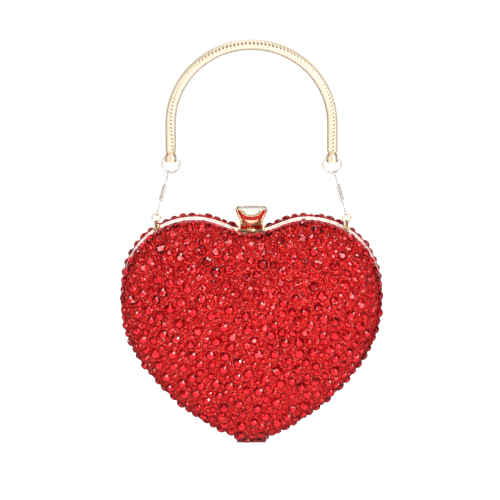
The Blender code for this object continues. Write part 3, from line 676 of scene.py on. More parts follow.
def brilliantShape():
    # table octagon, 8 stars, 8 kites, 16 upper girdle facets, a low wall and a flat back; the last
    # array is each facet's kind: 0 wall and back, 1 girdle, 2 kite, 3 star, 4 table
    ring = roundOutline(1.0, 16)
    points = np.vstack([lifted(ring, cut["back"]), lifted(ring, cut["girdle"]),
                        lifted(ring[1::2] * cut["kite"][0], cut["kite"][1]),
                        lifted(ring[::2] * cut["table"], 1.0)])
    j = np.arange(8)
    base, girdle, middle, table = 0, 16, 32, 40
    wall = np.stack([base + np.arange(16), base + (np.arange(16) + 1) % 16,
                     girdle + (np.arange(16) + 1) % 16, girdle + np.arange(16)], -1)
    kites = np.stack([girdle + 2 * j, middle + j, table + j, middle + (j - 1) % 8], -1)
    stars = np.stack([table + j, middle + j, table + (j + 1) % 8], -1)
    upper = np.vstack([np.stack([girdle + 2 * j, girdle + 2 * j + 1, middle + j], -1),
                       np.stack([girdle + 2 * j + 1, girdle + (2 * j + 2) % 16, middle + j], -1)])
    groups = [np.vstack([stars, upper]), np.vstack([wall, kites]), (table + j)[None],
              (base + np.arange(16)[::-1])[None]]
    return points, groups, [np.repeat([3, 1], [8, 16]), np.repeat([0, 2], [16, 8]), [4], [0]]


def smallShape():
    # table octagon turned half a facet against the girdle, 16 crown facets, a low wall, a flat back
    ring = roundOutline(1.0, 8)
    half = np.stack([np.cos(turns(8, 0.5)), np.sin(turns(8, 0.5))], -1)
    points = np.vstack([lifted(ring, cut["back"]), lifted(ring, cut["smallGirdle"]),
                        lifted(half * cut["smallTable"], 1.0)])
    j = np.arange(8)
    k = (j + 1) % 8
    crown = np.vstack([np.stack([8 + j, 8 + k, 16 + j], -1), np.stack([16 + j, 8 + k, 16 + k], -1)])
    groups = [crown, np.stack([j, k, 8 + k, 8 + j], -1), (16 + j)[None], j[::-1][None]]
    return points, groups, [np.repeat([1, 2], 8), np.zeros(8, int), [4], [0]]


def packStones(points, triangles, normals, found):
    # the tip's row, the CAD's stones, rows along the rim, then sizes from large to small: a place
    # is kept where no stone lies nearer than both radii and a spacing
    a, b, c = (points[triangles[:, k]] for k in range(3))
    area = np.linalg.norm(np.cross(b - a, c - a), axis=1)
    kept = np.zeros((stones["most"], 7))
    count = 0

    def room(spot):
        return (np.linalg.norm(kept[:count, :3] - spot, axis=1) - kept[:count, 6]).min()

    def keep(spot, rise, radius):
        nonlocal count
        kept[count] = *spot, *rise, radius
        count += 1

    near, less = stones["tipReach"]
    for share in stones["tipTurns"]:
        spot = domeAt(np.array([share * stones["tipTurn"]]), np.zeros(1))[0]
        rise = unit(np.array(stones["tipRise"]) * (share, 1, 1))
        keep(spot + rise * (near - less * share ** 2), rise, stones["radii"][1])
    for spot, rise, radius in found:
        if room(spot) > radius:
            keep(spot, rise, radius)
    for depth, radii in stones["rimRows"]:
        rings = bed["rings"] - depth
        first = 1 + 3 * rings * (rings - 1)
        radius = radii[0]
        for index in range(first, first + 6 * rings):
            if room(points[index]) < radius + stones["rimGap"]:
                continue
            keep(points[index], normals[index], radius)
            radius = radii[chance.integers(len(radii))]
    upper = np.clip((points[:, 2] - stones["sparseFrom"]) / stones["sparseRise"], 0, 1)
    inward = (stones["sparseHalf"] - np.abs(points[:, 0])) / stones["sparseFade"]
    sparse = upper * np.clip(inward, 0, 1) * stones["sparse"]
    for radius, tries, spacing in zip(stones["radii"], stones["tries"], stones["spacing"]):
        picks = chance.choice(len(triangles), tries, p=area / area.sum())
        shares = chance.dirichlet((1, 1, 1), tries)[..., None]
        spots = (points[triangles[picks]] * shares).sum(1)
        rises = unit((normals[triangles[picks]] * shares).sum(1))
        left = sparse[triangles[picks, 0]] * (radius > stones["sparseOver"])
        wanted = chance.random(tries) > left
        for spot, rise, use in zip(spots, rises, wanted):
            clear = radius + spacing * chance.uniform(*stones["spacingSpread"])
            inside = spot[1] > heart["springLine"] + radius * stones["edge"]
            if use and inside and room(spot) > clear:
                keep(spot, rise, radius)
    return kept[:count, :3], kept[:count, 3:6], kept[:count, 6]


def repeated(shape, places, uprights, sizes):
    # one unit shape at each place: point = place + r * (x * across + y * along + z * height * up),
    # where the cutter's heights vary and stones by the rim are flatter
    points, count = shape[0], len(places)
    up = unit(uprights + chance.normal(0, stones["tilt"], (count, 3)))
    spin = chance.normal(0, 1, (count, 3))
    across = unit(spin - (spin * up).sum(1, keepdims=True) * up)
    along = np.cross(up, across)
    r = sizes[:, None, None]
    height = chance.uniform(*stones["height"], (count, 1, 1))
    height = height * (1 - (1 - stones["rimHeight"]) * byRim(places)[:, None, None])
    return ((places + up * (bedDistance(places) - stones["sink"]))[:, None]
            + r * (points[:, 0, None] * across[:, None] + points[:, 1, None] * along[:, None]
                   + points[:, 2, None] * height * up[:, None]))


# mean and spread go by the facet's kind; painted glints, contrast and painted spark
# highlights grow from the tip to the lobes
facets = {"mean": (0.19, 0.30, 0.48, 0.54, 0.60), "spread": (0.08, 0.15, 0.18, 0.18, 0.09),
          "own": 0.10, "paintedGlint": (0.0, 0.095), "contrast": (0.8, 1.7), "paintedSpark": (0.42, 0.25),
          "toSpark": (0.5, 0, 0.87), "bright": 0.8, "tableLess": 0.09, "grown": (1.6, 0.5),
          "sparkGrown": (6, 0.5)}


def facetTones(shape, places, made):
    # tone = the stone's own random tone + its facet kind's mean, spread at random; the kind's mean
    # makes the table lightest and the wall darkest, partly the cut's own look and partly painted
    # shade.
    # A few facets are painted glints, near white; spread and painted glints grow from the tip to
    # the lobes, as painted light and shade on the upper half, which faces up; painted shade darkens
    # the stones along the rim; and a share of the stones has a painted highlight in the kite that
    # is turned most to the upper right
    count = len(places)
    corners = made - places[:, None]
    share = aboveTip(places)[:, None]
    # painted light and shade: contrast and glints grow towards the lobes
    above, sparkAbove = (np.clip(share * facets[key][0] - facets[key][1], 0, 1)
                         for key in ("grown", "sparkGrown"))
    flashes, contrast, sparks = (low + (high - low) * above for low, high in
                                 (facets[key] for key in ("paintedGlint", "contrast", "paintedSpark")))
    own = chance.uniform(-facets["own"], facets["own"], (count, 1)) * contrast
    # painted shade: the stones near the rim are made darker
    own = own - stones["paintedRimShade"] * byRim(places)[:, None]
    tones = []
    for kinds, group in zip(shape[2], shape[1]):
        kinds = np.asarray(kinds)
        # painted highlight: the kite turned most towards the upper right, in the object's own axes,
        # is made near white
        turned = np.where(kinds == 2, corners[:, group].mean(2) @ np.array(facets["toSpark"]), -1)
        paintedSpark = (turned == turned.max(1, keepdims=True)) & (kinds == 2)
        paintedSpark = paintedSpark & (chance.random((count, 1)) < sparks * sparkAbove)
        mean, spread = (np.array(facets[key])[kinds] for key in ("mean", "spread"))
        tone = mean + own + chance.uniform(-1, 1, (count, len(kinds))) * spread * contrast
        # painted glints: random kites, stars and tables take a near white tone
        paintedGlint = paintedSpark | (chance.random(tone.shape) < flashes) & (kinds > 1)
        bright = chance.uniform(facets["bright"], 1, tone.shape)
        bright = bright - facets["tableLess"] * (kinds == 4)
        tones.append(np.clip(np.where(paintedGlint, bright, tone), 0, 1))
    return tones


def setStones(word, sign, points, triangles, normals):
    # a CAD stone of which a single point was gathered has no size and is left out of the mesh
    found = cadStones(word, sign, points, normals)
    places, uprights, sizes = packStones(points, triangles, normals, found)
    large = sizes > stones["brilliantOver"]
    allPoints, allGroups, allTones, start = [], [], [], 0
    for shape, pick in ((brilliantShape(), large), (smallShape(), ~large)):
        made = repeated(shape, places[pick], uprights[pick], sizes[pick])
        tones = facetTones(shape, places[pick], made)
        solid = sizes[pick] > 0
        count, each = solid.sum(), len(shape[0])
        step = (start + np.arange(count) * each)[:, None, None]
        allGroups += [(g[None] + step).reshape(-1, g.shape[1]) for g in shape[1]]
        allTones += [tone[solid].ravel() for tone in tones]
        allPoints.append(made[solid].reshape(-1, 3))
        start += count * each
    makePiece(word + "_set_stones", mirrorHalf(np.vstack(allPoints), sign), allGroups,
              foiledCrystal, word + "_half", smooth=False,
              tone=np.concatenate(allTones))
    print(word, "stones", (sizes > 0).sum(), "of them from the CAD",
          sum(radius > 0 for _, _, radius in found))


for halfWord, halfSign in halves:
    setStones(halfWord, halfSign, *crystalBed(halfWord, halfSign))
print("crystal covers made")


# Frames: a polished channel round the heart

band = {"points": 480, "parting": 0.00015, "depth": 0.0050, "wall": 0.0012, "web": 0.0012,
        "inside": 0.0030, "width": 0.0040, "innerDepth": 0.0040, "round": 0.00035}


def frameBand(word, sign):
    # the channel's section, corners rounded, carried round the heart at each inset
    p, d, w, s = band["parting"], band["depth"], band["wall"], band["inside"]
    section = softened([(0, p), (0, d), (w, d), (w, p + band["web"]), (s, p + band["web"]),
                        (s, band["innerDepth"]), (band["width"], band["innerDepth"]),
                        (band["width"], p)], band["round"], 4)
    line = evenLoop(heartLine, band["points"])
    along = unit(np.roll(line, -1, 0) - np.roll(line, 1, 0))
    inward = -np.stack([along[:, 1], -along[:, 0]], -1)
    flat = line[:, None] + inward[:, None] * section[None, :, :1]
    depth = np.broadcast_to(section[None, :, 1], flat.shape[:2])
    points = np.stack([flat[..., 0], depth, flat[..., 1]], -1)
    piece = makePiece(word + "_frame_band", mirrorHalf(points.reshape(-1, 3), sign),
                      [gridFaces(len(line), len(section), True, True)], bandGoldPaintedPink,
                      word + "_half", (word + "_frame",))
    crease(piece, 50)


for halfWord, halfSign in halves:
    frameBand(halfWord, halfSign)
print("frames made")


# Linings: satin over thin foam, gathered towards the rim

lining = {"rings": 60, "distance": -0.0016, "wall": (0.0004, 0.0007), "gather": 0.00022,
          "folds": 84, "drift": (3, 7), "skirt": 0.0009}


def satinLining(word, sign):
    # the dome moved in, with folds = gather * (1 + sin(folds * turn + drift)) fading towards the
    # crown, over foam that grows thicker towards the rim
    points, triangles = discMesh(lining["rings"], skirt=lining["skirt"])
    normals = cornerNormals(points, triangles)
    rings = np.arange(1, lining["rings"] + 1)
    ring = np.concatenate([[1], np.repeat(rings, 6 * rings)])
    order = np.arange(len(points)) - (1 + 3 * ring * (ring - 1))
    turn = 2 * math.pi * order / (6 * ring)
    out = ring / lining["rings"]
    drift, waves = lining["drift"]
    fold = np.sin(lining["folds"] * turn + drift * np.sin(waves * turn)) * out ** 2
    outer = points + normals * lining["distance"]
    foam = lining["wall"][0] + lining["wall"][1] * out ** 2 + lining["gather"] * (1 + fold)
    both, groups = doubleDisc(outer, outer - normals * foam[:, None], triangles, lining["rings"])
    piece = makePiece(word + "_satin_lining", mirrorHalf(both, sign), groups, champagneSatin,
                      word + "_half", (word + "_lining",))


for halfWord, halfSign in halves:
    satinLining(halfWord, halfSign)
print("linings made")


# Handle: a snake chain on its arch, with turned bells on its ends

# seam: the main row's turn at the left foot, the crown and the right foot
# fades: place, width and share of each
handle = {"archRadius": 0.0500, "centreZ": -0.0467, "leg": 0.0177, "radius": 0.0033,
          "groove": 0.0006, "rib": 0.00235, "perRib": 10, "sides": 64, "rows": 4,
          "seam": (3.55, 2.60, 2.95), "pitWidth": 0.30, "pitPower": 6, "otherRows": 0.45,
          "faint": 0.07, "slant": 0.55, "slantEase": 3,
          "fades": ((-0.50, 0.14, 0.85), (0.42, 0.20, 0.5)), "line": (0.10, 0.38)}


def archPath(count):
    # straight leg, half circle, straight leg, at equal steps of length
    r, leg = handle["archRadius"], handle["leg"]
    s = np.linspace(-leg, math.pi * r + leg, count)
    turn = np.clip(s / r, 0, math.pi)
    over = np.minimum(s, 0) + np.minimum(math.pi * r - s, 0)
    z = handle["centreZ"] + r * np.sin(turn) + over
    return np.stack([-r * np.cos(turn), np.zeros(count), z], -1), s


def snakeChain():
    # pits between the links, in rows round the tube: depth = groove * |cos(pi * phase)|^pitPower *
    # (faint + (1 - faint) * weight), phase = s / rib + lean * offset + half a rib for each row,
    # where the lean turns over at the crown; weight falls with the offset from the row as
    # exp(-(o / w)^2); the main row wanders round the tube along the arch, and on the shoulders its
    # pits fade into a shallow line by share * exp(-((run - place) / width)^2)
    length = 2 * handle["leg"] + math.pi * handle["archRadius"]
    count = round(length / handle["rib"]) * handle["perRib"] + 1
    path, s = archPath(count)
    share = np.linspace(-1, 1, count)[:, None]
    left, crown, right = handle["seam"]
    seam = crown + np.where(share < 0, left - crown, right - crown) * share ** 2
    turn = turns(handle["sides"])[None]
    step = 2 * math.pi / handle["rows"]
    offset = (turn - seam + step / 2) % step - step / 2
    row = np.rint((turn - seam) / step) % handle["rows"]
    lean = -np.tanh(share * handle["slantEase"]) * handle["slant"]
    phase = s[:, None] / handle["rib"] + lean * offset + row * 0.5
    weight = np.where(row == 0, 1.0, handle["otherRows"])
    weight = weight * np.exp(-(offset / handle["pitWidth"]) ** 2)
    fade = sum(part * np.exp(-((share - place) / width) ** 2)
               for place, width, part in handle["fades"])
    gaps = np.abs(np.cos(math.pi * phase)) ** handle["pitPower"]
    pit = gaps * (handle["faint"] + (1 - handle["faint"]) * weight)
    width, deep = handle["line"]
    line = deep * fade * np.exp(-(offset / width) ** 2) * (row == 0)
    pit = np.maximum(pit * (1 - fade), line)
    radius = handle["radius"] - handle["groove"] * pit
    outline = np.stack([radius * np.cos(turn), radius * np.sin(turn)], -1)
    points, groups = carried(path, (0, 1, 0), outline)
    # painted shade: each face's tone falls with the depth of the pits round it
    pitShadeDepth = (pit[:-1] + pit[1:]) / 2
    tone = 1 - np.concatenate([((pitShadeDepth + np.roll(pitShadeDepth, -1, 1)) / 2).ravel(),
                               np.zeros(2 * handle["sides"])])
    makePiece("snake_chain", points, groups, peachGold, "handle", ("handle_chain",),
              tone=np.clip(tone, 0, 1))


hanger = {"jumpZ": -0.0730, "jumpRadius": 0.0056, "jumpWire": 0.0006,
          "clipTop": (0.051449, 0, -0.078409), "clipFoot": (0.058619, 0, -0.105165),
          "clipWire": 0.0004, "eye": 0.0019, "tailOffset": 0.0011, "neck": 0.0030,
          "springWire": 0.00036, "springRadius": 0.0012, "springPitch": 0.0015, "springTurns": 7,
          "smallRadius": 0.0026, "smallWire": 0.0005, "gap": 0.0003,
          "ringPoints": 96, "ringSides": 20, "eyePoints": 40, "clipSides": 14,
          "springPoints": 24, "springSides": 12}

# pairs of radius and height, from the neck's groove over the flare to the rounded lip
bell = {"topZ": -0.0647, "slotWidth": 0.0042, "slotPoints": 64, "profile": (
    (0, 0), (0.0027, 0), (0.0030, -0.0002), (0.0030, -0.0005), (0.0025, -0.0008),
    (0.0025, -0.0012), (0.0030, -0.0015), (0.0032, -0.0019), (0.0035, -0.0030),
    (0.0037, -0.0036), (0.0037, -0.0064), (0.0036, -0.00665), (0.0033, -0.0068),
    (0.0029, -0.0068), (0.0028, -0.0065), (0, -0.0065))}


def ringPath(centreX, centreZ, radius, count):
    # a circle in the plane of X and Z
    turn = turns(count)
    return np.stack([centreX + radius * np.cos(turn), np.zeros(count),
                     centreZ + radius * np.sin(turn)], -1)


def bellCap(word, sign):
    # a turned bell with an arched slot for its ring
    x = sign * handle["archRadius"]
    points, groups = turnedPoints(bell["profile"], (x, 0, bell["topZ"]))
    piece = makePiece(word + "_bell_cap", points, groups, satinGold, "handle",
                      (word + "_end_cap",))
    path = ringPath(x, hanger["jumpZ"], hanger["jumpRadius"], bell["slotPoints"])
    across, along = bell["slotWidth"] / 2, hanger["jumpWire"] + hanger["gap"]
    outline = [(-across, -along), (across, -along), (across, along), (-across, along)]
    slot = turnedOut(*carried(path, (0, 1, 0), outline, closed=True))
    cutter = placed("slot", makeMesh("slot", *slot))
    applied(piece, "BOOLEAN", operation="DIFFERENCE", solver="EXACT", object=cutter)
    bpy.data.objects.remove(cutter)
    crease(piece, 40)


snakeChain()
for sideWord, sideSign in sides:
    bellCap(sideWord, sideSign)
print("handle made")


# Hangers: jump ring, clip wire with its spring, small ring

def wireRing(name, centreX, centreZ, radius, wire, material, body, node):
    path = ringPath(centreX, centreZ, radius, hanger["ringPoints"])
    points, groups = carried(path, (0, 1, 0), roundOutline(wire, hanger["ringSides"]), closed=True)
    makePiece(name, points, groups, material, body, (node,))


def clipPieces(word, sign):
    # the wire lies in the plane of the clip's line and Y; the spring winds round its shank
    top, foot = np.array(hanger["clipTop"]), np.array(hanger["clipFoot"])
    along = np.array([0, 1.0, 0])
    down = unit(foot - top)
    sideways = np.cross(down, along)
    wire, eye = hanger["clipWire"], hanger["eye"]
    upper = top + down * (eye - wire - hanger["jumpWire"] - hanger["gap"])
    lower = foot - down * (eye - wire - hanger["smallWire"] - hanger["gap"])
    shank = np.linalg.norm(lower - upper)
    start = (shank - hanger["springTurns"] * hanger["springPitch"]) / 2
    join = math.asin(hanger["tailOffset"] / eye)
    turn = np.linspace(join, 2 * math.pi - join, hanger["eyePoints"])
    loop = np.stack([eye * np.cos(turn), eye * np.sin(turn)], -1)
    tailEnd = (start - hanger["springWire"] - hanger["gap"], hanger["tailOffset"])
    tail = np.linspace(tailEnd, loop[0], 8)[:-1]
    ease = np.linspace(0, 1, 12)[1:, None]
    neckEnd = np.array([loop[-1, 0] + hanger["neck"], 0])
    neck = loop[-1] + (neckEnd - loop[-1]) * np.concatenate([ease, ease ** 2 * (3 - 2 * ease)], 1)
    half = np.vstack([tail, loop, neck])
    line = np.vstack([half, (half * (-1, 1) + (shank, 0))[::-1]])
    mirror = np.array([sign, 1, 1])
    path = (upper + line[:, :1] * down + line[:, 1:] * along) * mirror
    points, groups = carried(path, sideways * mirror, roundOutline(wire, hanger["clipSides"]))
    makePiece(word + "_clip_bent_wire", points, groups, rhodium, "clips",
              (word + "_clip_wire",))
    turn = np.linspace(0, 2 * math.pi * hanger["springTurns"],
                       hanger["springPoints"] * hanger["springTurns"])[:, None]
    outward = np.cos(turn) * along + np.sin(turn) * sideways
    path = (upper + (start + hanger["springPitch"] * turn / (2 * math.pi)) * down
            + outward * hanger["springRadius"]) * mirror
    points, groups = carried(path, outward * mirror,
                             roundOutline(hanger["springWire"], hanger["springSides"]))
    makePiece(word + "_clip_coil", points, groups, rhodium, "clips",
              (word + "_clip_spring",))


def smallRing(word, sign):
    # it hangs on from the clip's foot, in the clip's own direction
    top, foot = np.array(hanger["clipTop"]), np.array(hanger["clipFoot"])
    centre = foot + unit(foot - top) * hanger["smallRadius"]
    wireRing(word + "_small_ring", sign * centre[0], centre[2], hanger["smallRadius"],
             hanger["smallWire"], paleGold, "small_rings", word + "_frame_ring")


for sideWord, sideSign in sides:
    wireRing(sideWord + "_split_ring", sideSign * handle["archRadius"], hanger["jumpZ"],
             hanger["jumpRadius"], hanger["jumpWire"], rhodium, "jump_rings",
             sideWord + "_jump_ring")
    clipPieces(sideWord, sideSign)
    smallRing(sideWord, sideSign)
print("hangers made")


# Clasp: flared gold basket with a half-moon window, enamel band and a clear cut stone

clasp = {
    "base": -0.110601, "height": 0.0094, "foot": (0.0064, 0.0042), "rim": (0.0104, 0.0062),
    "flare": 0.8, "corner": 2.6, "wall": 0.0009, "floor": 0.0010, "sill": 0.0091,
    "window": (0.0064, 0.0036), "gap": 0.0003, "columns": 160, "rows": 22, "barRound": 0.0002,
}


def basketPoint(turn, height, inset):
    # superellipse |x/a|^p + |y/b|^p = 1, whose halves grow from foot to rim by (height share)^flare
    grown = np.clip(height / clasp["height"], 0, 1) ** clasp["flare"]
    halfX, halfY = (foot + (rim - foot) * grown - inset
                    for foot, rim in zip(clasp["foot"], clasp["rim"]))
    c, s = np.cos(turn), np.sin(turn)
    size = (np.abs(c) ** clasp["corner"] + np.abs(s) ** clasp["corner"]) ** (-1 / clasp["corner"])
    return np.stack([halfX * c * size, halfY * s * size, clasp["base"] + height + 0 * turn], -1)


def claspBasket():
    # the wall's top follows the window: top = sill - windowHeight * sqrt(1 - (x / windowHalf)^2),
    # and a bar closes it all round at the rim
    turn = turns(clasp["columns"])
    half, deep = clasp["window"]
    top = np.full(len(turn), clasp["sill"])
    for _ in range(30):
        x = basketPoint(turn, top, 0)[:, 0]
        top = clasp["sill"] - deep * np.sqrt(np.clip(1 - (x / half) ** 2, 0, 1))
    share = np.linspace(0, 1, clasp["rows"])[:, None]
    outer = basketPoint(turn[None], share * top, 0)
    inner = basketPoint(turn[None], clasp["floor"] + share * (top - clasp["floor"]), clasp["wall"])
    edge = clasp["barRound"]
    low, high, wall = clasp["sill"] - edge, clasp["height"], clasp["wall"]
    bar = softened([(0, low), (0, high), (wall, high), (wall, low)], edge, 4)
    rim = basketPoint(turn[:, None], bar[None, :, 1], bar[None, :, 0])
    points, groups = joined(capped(np.concatenate([outer, inner[::-1]])),
                            (rim.reshape(-1, 3), [gridFaces(len(turn), len(bar), True, True)]))
    crease(makePiece("jewel_basket", points, groups, paleGold, "clasp",
                     ("clasp_basket",)), 40)


enamel = {"inner": 0.0003, "across": 0.0022, "under": 0.0030, "proud": 0.00025, "bedded": 0.00036,
          "within": 0.985, "points": 61, "rows": 7, "edge": 0.15}


def enamelBands():
    # a U round each window, laid on the basket, deeper below than at its sides:
    # ((window + reach across) * cos t, (window + reach down) * sin t), t from 180 to 360
    half, deep = clasp["window"]
    turn = np.linspace(math.pi, 2 * math.pi, enamel["points"])[:, None]
    across, under = (np.linspace(enamel["inner"], enamel[key], enamel["rows"])[None]
                     for key in ("across", "under"))
    x = (half + across) * np.cos(turn)
    height = clasp["sill"] + (deep + under) * np.sin(turn)
    grown = np.clip(height / clasp["height"], 0, 1) ** clasp["flare"]
    halfX, halfY = (foot + (rim - foot) * grown for foot, rim in zip(clasp["foot"], clasp["rim"]))
    x = np.clip(x, -halfX * enamel["within"], halfX * enamel["within"])
    depth = halfY * (1 - np.abs(x / halfX) ** clasp["corner"]) ** (1 / clasp["corner"])
    rise = np.linspace(enamel["edge"], math.pi - enamel["edge"], enamel["rows"])
    swell = enamel["proud"] * np.sin(rise) ** 0.5
    parts = []
    for side in (-1, 1):
        outside = np.stack([x, side * (depth + swell), clasp["base"] + height], -1)
        inside = np.stack([x, side * (depth - enamel["bedded"]), clasp["base"] + height], -1)
        parts.append(capped(np.concatenate([outside, inside[:, ::-1]], 1)))
    points, groups = joined(*parts)
    crease(makePiece("enamel_band", points, groups, redEnamel, "clasp"), 50)


cutStone = {"columns": 26, "rows": 6, "girdle": 0.0006, "table": 0.0001, "crown": 0.0008,
            "shift": 0.07}


def claspStone():
    # the clear stone: rows up to a girdle, a sloping crown and a flat table, its inner points
    # shifted a little so that its facets catch the light one by one
    columns, count = cutStone["columns"], cutStone["rows"]
    turn = turns(columns, 0.5)
    inset = clasp["wall"] + clasp["gap"]
    low, high = clasp["floor"] + clasp["gap"], clasp["height"] - cutStone["girdle"]
    rows = np.stack([basketPoint(turn, h, inset) for h in np.linspace(low, high, count)])
    shift = chance.uniform(0, 1, rows.shape[:2] + (1,)) * cutStone["shift"] * np.array([1, 1, 0])
    crown = basketPoint(turn, clasp["height"] - cutStone["table"], inset + cutStone["crown"])
    points, groups = capped(np.concatenate([rows * (1 - shift), crown[None]]))
    table = np.repeat([0, 1, 0, 1], ((count - 1) * columns, columns, columns, columns))
    makePiece("cut_stone", points, groups, clearCutGlass, "clasp",
              ("clasp_crystal",), smooth=False, tone=table)


# the lip's sizes are its half width, its rise and its sag
lever = {"half": 0.0080, "wall": 0.0008, "cheek": 0.00112, "front": -0.0050, "low": -0.1150,
         "top": -0.110901, "pivot": (0.0026, -0.1135), "ear": 0.0015, "recess": 0.0002,
         "lean": 0.0011, "lift": 0.0003, "lip": (0.0028, 0.0012, 0.0002), "bevel": 0.00012}


def claspLever():
    # two cheeks with a corner rounded about the pivot, a front between them that leans back towards
    # its foot, a roof, and a crescent shaped lip below the front
    back, height = lever["pivot"]
    low, top, front = lever["low"], lever["top"], lever["front"]
    half, wall, ear = lever["half"], lever["wall"], lever["ear"]
    rear = back + ear
    turn = np.linspace(0, math.pi / 2, 12)
    corner = np.stack([back + ear * np.sin(turn), height - ear * np.cos(turn)], -1)
    cheek = np.vstack([[(front, low)], corner, [(rear, top), (front, top)]])
    parts = [prism(cheek, side * half, side * (half - lever["cheek"]), 0) for side in (-1, 1)]
    inside = half - wall
    upper, foot = front + lever["recess"], low + lever["lift"]
    lower = upper + lever["lean"]
    parts.append(prism([(lower, foot), (lower + wall, foot), (upper + wall, top), (upper, top)],
                       -inside, inside, 0))
    parts.append(prism([(-inside, upper + wall / 2), (inside, upper + wall / 2),
                        (inside, rear), (-inside, rear)], top - wall, top, 2))
    bow = np.linspace(0, math.pi, 21)
    lipHalf, rise, sag = lever["lip"]
    crescent = np.vstack([np.stack([lipHalf * np.cos(bow), low + rise * np.sin(bow)], -1),
                          np.stack([-lipHalf * np.cos(bow), low + sag * np.sin(bow)], -1)[1:-1]])
    parts.append(prism(crescent, front, lower + wall / 2, 1))
    points, groups = joined(*parts)
    piece = makePiece("clasp_box", points, groups, paleGold, "clasp", ("clasp_lever",))
    applied(piece, "BEVEL", width=lever["bevel"], segments=2, limit_method="ANGLE")
    crease(piece, 20)


claspBasket()
enamelBands()
claspStone()
claspLever()
print("clasp made")


# CAD nodes that keep their shape

finishes = {"pale_gold": paleGold, "bright_wire": rhodium, "steel_pin": brightSteel,
            "hard_shell": mouldedAbs, "satin_lining": champagneSatin,
            "clear_crystal": clearCutGlass, "red_crystal": foiledCrystal}
for part in frame["record"]["subparts"]:
    # painted shade: the hinge's leaf and rivet take the dark red lacquer
    shadeLacquered = part["node"].endswith(("hinge_leaf", "hinge_rivet"))
    finish = shadeRedLacquer if shadeLacquered else finishes[part["material_slot"]]
    for place in frame["nodes"][part["node"]].material_slots:
        place.material = finish
print("CAD finishes set")


# Studio: floor, light and camera

studio = {
    "floorZ": -0.42, "floorSize": 14.0, "floorLift": 0.55, "floorDark": (-0.06, 0.08),
    "worldPlain": 0.45, "worldMirrored": 0.28, "cardLift": 0.9,
    "cards": (("back_card", 2.0, 1.4, -0.42, 1.2), ("low_strip", 0.9, -1.5, 0.30, 0.62),
              ("high_strip", 0.9, -1.5, 1.0, 1.5)),
    "softboxes": (("keyBox", (0.74, -1.00, 0.19), 0.36, 7.5),
                  ("highSpark", (0.25, -1.15, 0.72), 0.14, 1.3),
                  ("leftSpark", (-0.55, -1.20, 0.40), 0.14, 0.9),
                  ("topBox", (-0.1, -0.05, 0.95), 0.8, 4.0),
                  ("fillBox", (-0.9, -0.7, 0.1), 0.5, 2.0)),
    "lightAim": (0, 0, -0.17),
    "aim": (-0.0009, 0.0, -0.1285), "elevation": 16.0, "lens": 500.0, "span": 0.311,
}


def stageSheet(name, corners, material):
    # one flat face of the studio
    data = bpy.data.meshes.new(name)
    data.from_pydata(corners, [], [(0, 1, 2, 3)])
    data.materials.append(material)
    made = placed(name, data)
    return made


def seenDirectly(tree):
    # 1 for what the camera, metal or glass sees, 0 for plain light
    path = addNode(tree, "ShaderNodeLightPath").outputs
    first = mathValue(tree, "MAXIMUM", path["Is Camera Ray"], path["Is Glossy Ray"])
    return mathValue(tree, "MAXIMUM", first, path["Is Transmission Ray"])


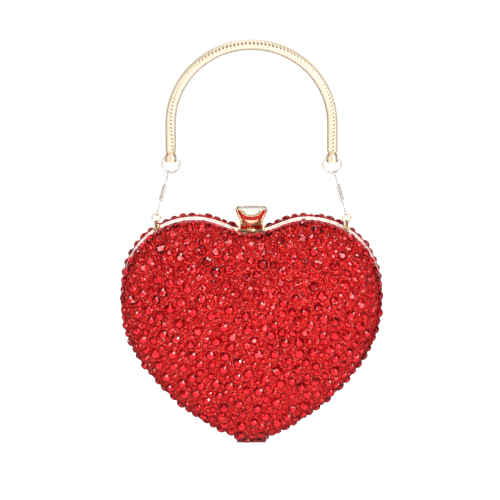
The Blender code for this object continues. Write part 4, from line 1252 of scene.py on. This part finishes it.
def makeFloor():
    # white to the camera, but dark in mirrors behind the object, as past a studio sweep's edge
    material, tree, shader = startMaterial("paintedFloor", Roughness=0.8)
    colour = colourRamp(tree, noiseValue(tree, 30.0), [(0.3, "#F6F6F4"), (0.7, "#F9F9F8")])
    axes = addNode(tree, "ShaderNodeSeparateXYZ", {"Vector": objectCoordinates(tree)})
    behind = rangeValue(tree, axes.outputs["Y"], *studio["floorDark"])
    mirrored = addNode(tree, "ShaderNodeLightPath").outputs["Is Glossy Ray"]
    dark = mathValue(tree, "MULTIPLY", behind, mirrored)
    both = blendColour(tree, dark, colour, linear("#6A605A"))
    tree.links.new(both, shader.inputs["Base Color"])
    shader.inputs["Emission Color"].default_value = (1, 1, 1, 1)
    bright = mathValue(tree, "SUBTRACT", 1.0, dark)
    seen = mathValue(tree, "MULTIPLY", seenDirectly(tree), bright)
    lift = mathValue(tree, "MULTIPLY", seen, studio["floorLift"])
    tree.links.new(lift, shader.inputs["Emission Strength"])
    half, z = studio["floorSize"] / 2, studio["floorZ"]
    stageSheet("studio_floor", [(-half, -half, z), (half, -half, z), (half, half, z),
                                (-half, half, z)], material)


def makeWorld():
    # plain light for the object, white where the camera or glass sees the surroundings, and a dim
    # room in mirrors, so that polished faces show contrast
    world = bpy.data.worlds.new("studio")
    bpy.context.scene.world = world
    world.use_nodes = True
    tree = world.node_tree
    back = tree.nodes["Background"]
    path = addNode(tree, "ShaderNodeLightPath").outputs
    level = studio["worldPlain"]
    for name, target in (("Is Camera Ray", 1.0), ("Is Glossy Ray", studio["worldMirrored"]),
                         ("Is Transmission Ray", 1.0)):
        level = mathValue(tree, "MULTIPLY_ADD", path[name], target - studio["worldPlain"], level)
    back.inputs["Color"].default_value = (1, 1, 1, 1)
    tree.links.new(level, back.inputs["Strength"])


def reflectorCard(name, half, depth, low, high):
    # a white card that only polished faces see
    material = cloudedMaterial(
        "whiteCard", 20.0, 2.0, [(0.3, "#F6F6F4"), (0.7, "#FAFAF9")], "Emission Color",
        Roughness=0.9, Emission_Strength=studio["cardLift"])[0]
    made = stageSheet(name, [(-half, depth, low), (half, depth, low), (half, depth, high),
                             (-half, depth, high)], material)
    made.visible_camera = made.visible_diffuse = made.visible_shadow = False
    made.visible_transmission = False


def softbox(name, place, size, power):
    light = bpy.data.lights.new(name, "AREA")
    light.size = size
    light.energy = power
    made = placed(name, light)
    made.location = place
    towards = Vector(studio["lightAim"]) - Vector(place)
    made.rotation_euler = towards.to_track_quat("-Z", "Y").to_euler()


def makeCamera():
    lens = bpy.data.cameras.new("camera")
    lens.lens = studio["lens"]
    lens.clip_end = 50
    made = placed("camera", lens)
    tilt = math.radians(studio["elevation"])
    distance = studio["span"] * lens.lens / lens.sensor_width
    made.location = Vector(studio["aim"]) + Vector((0, -math.cos(tilt), math.sin(tilt))) * distance
    made.rotation_euler = (math.pi / 2 - tilt, 0, 0)
    bpy.context.scene.camera = made


makeFloor()
makeWorld()
for card in studio["cards"]:
    reflectorCard(*card)
for box in studio["softboxes"]:
    softbox(*box)
makeCamera()
bpy.context.scene.view_settings.view_transform = "Standard"
print("studio made")
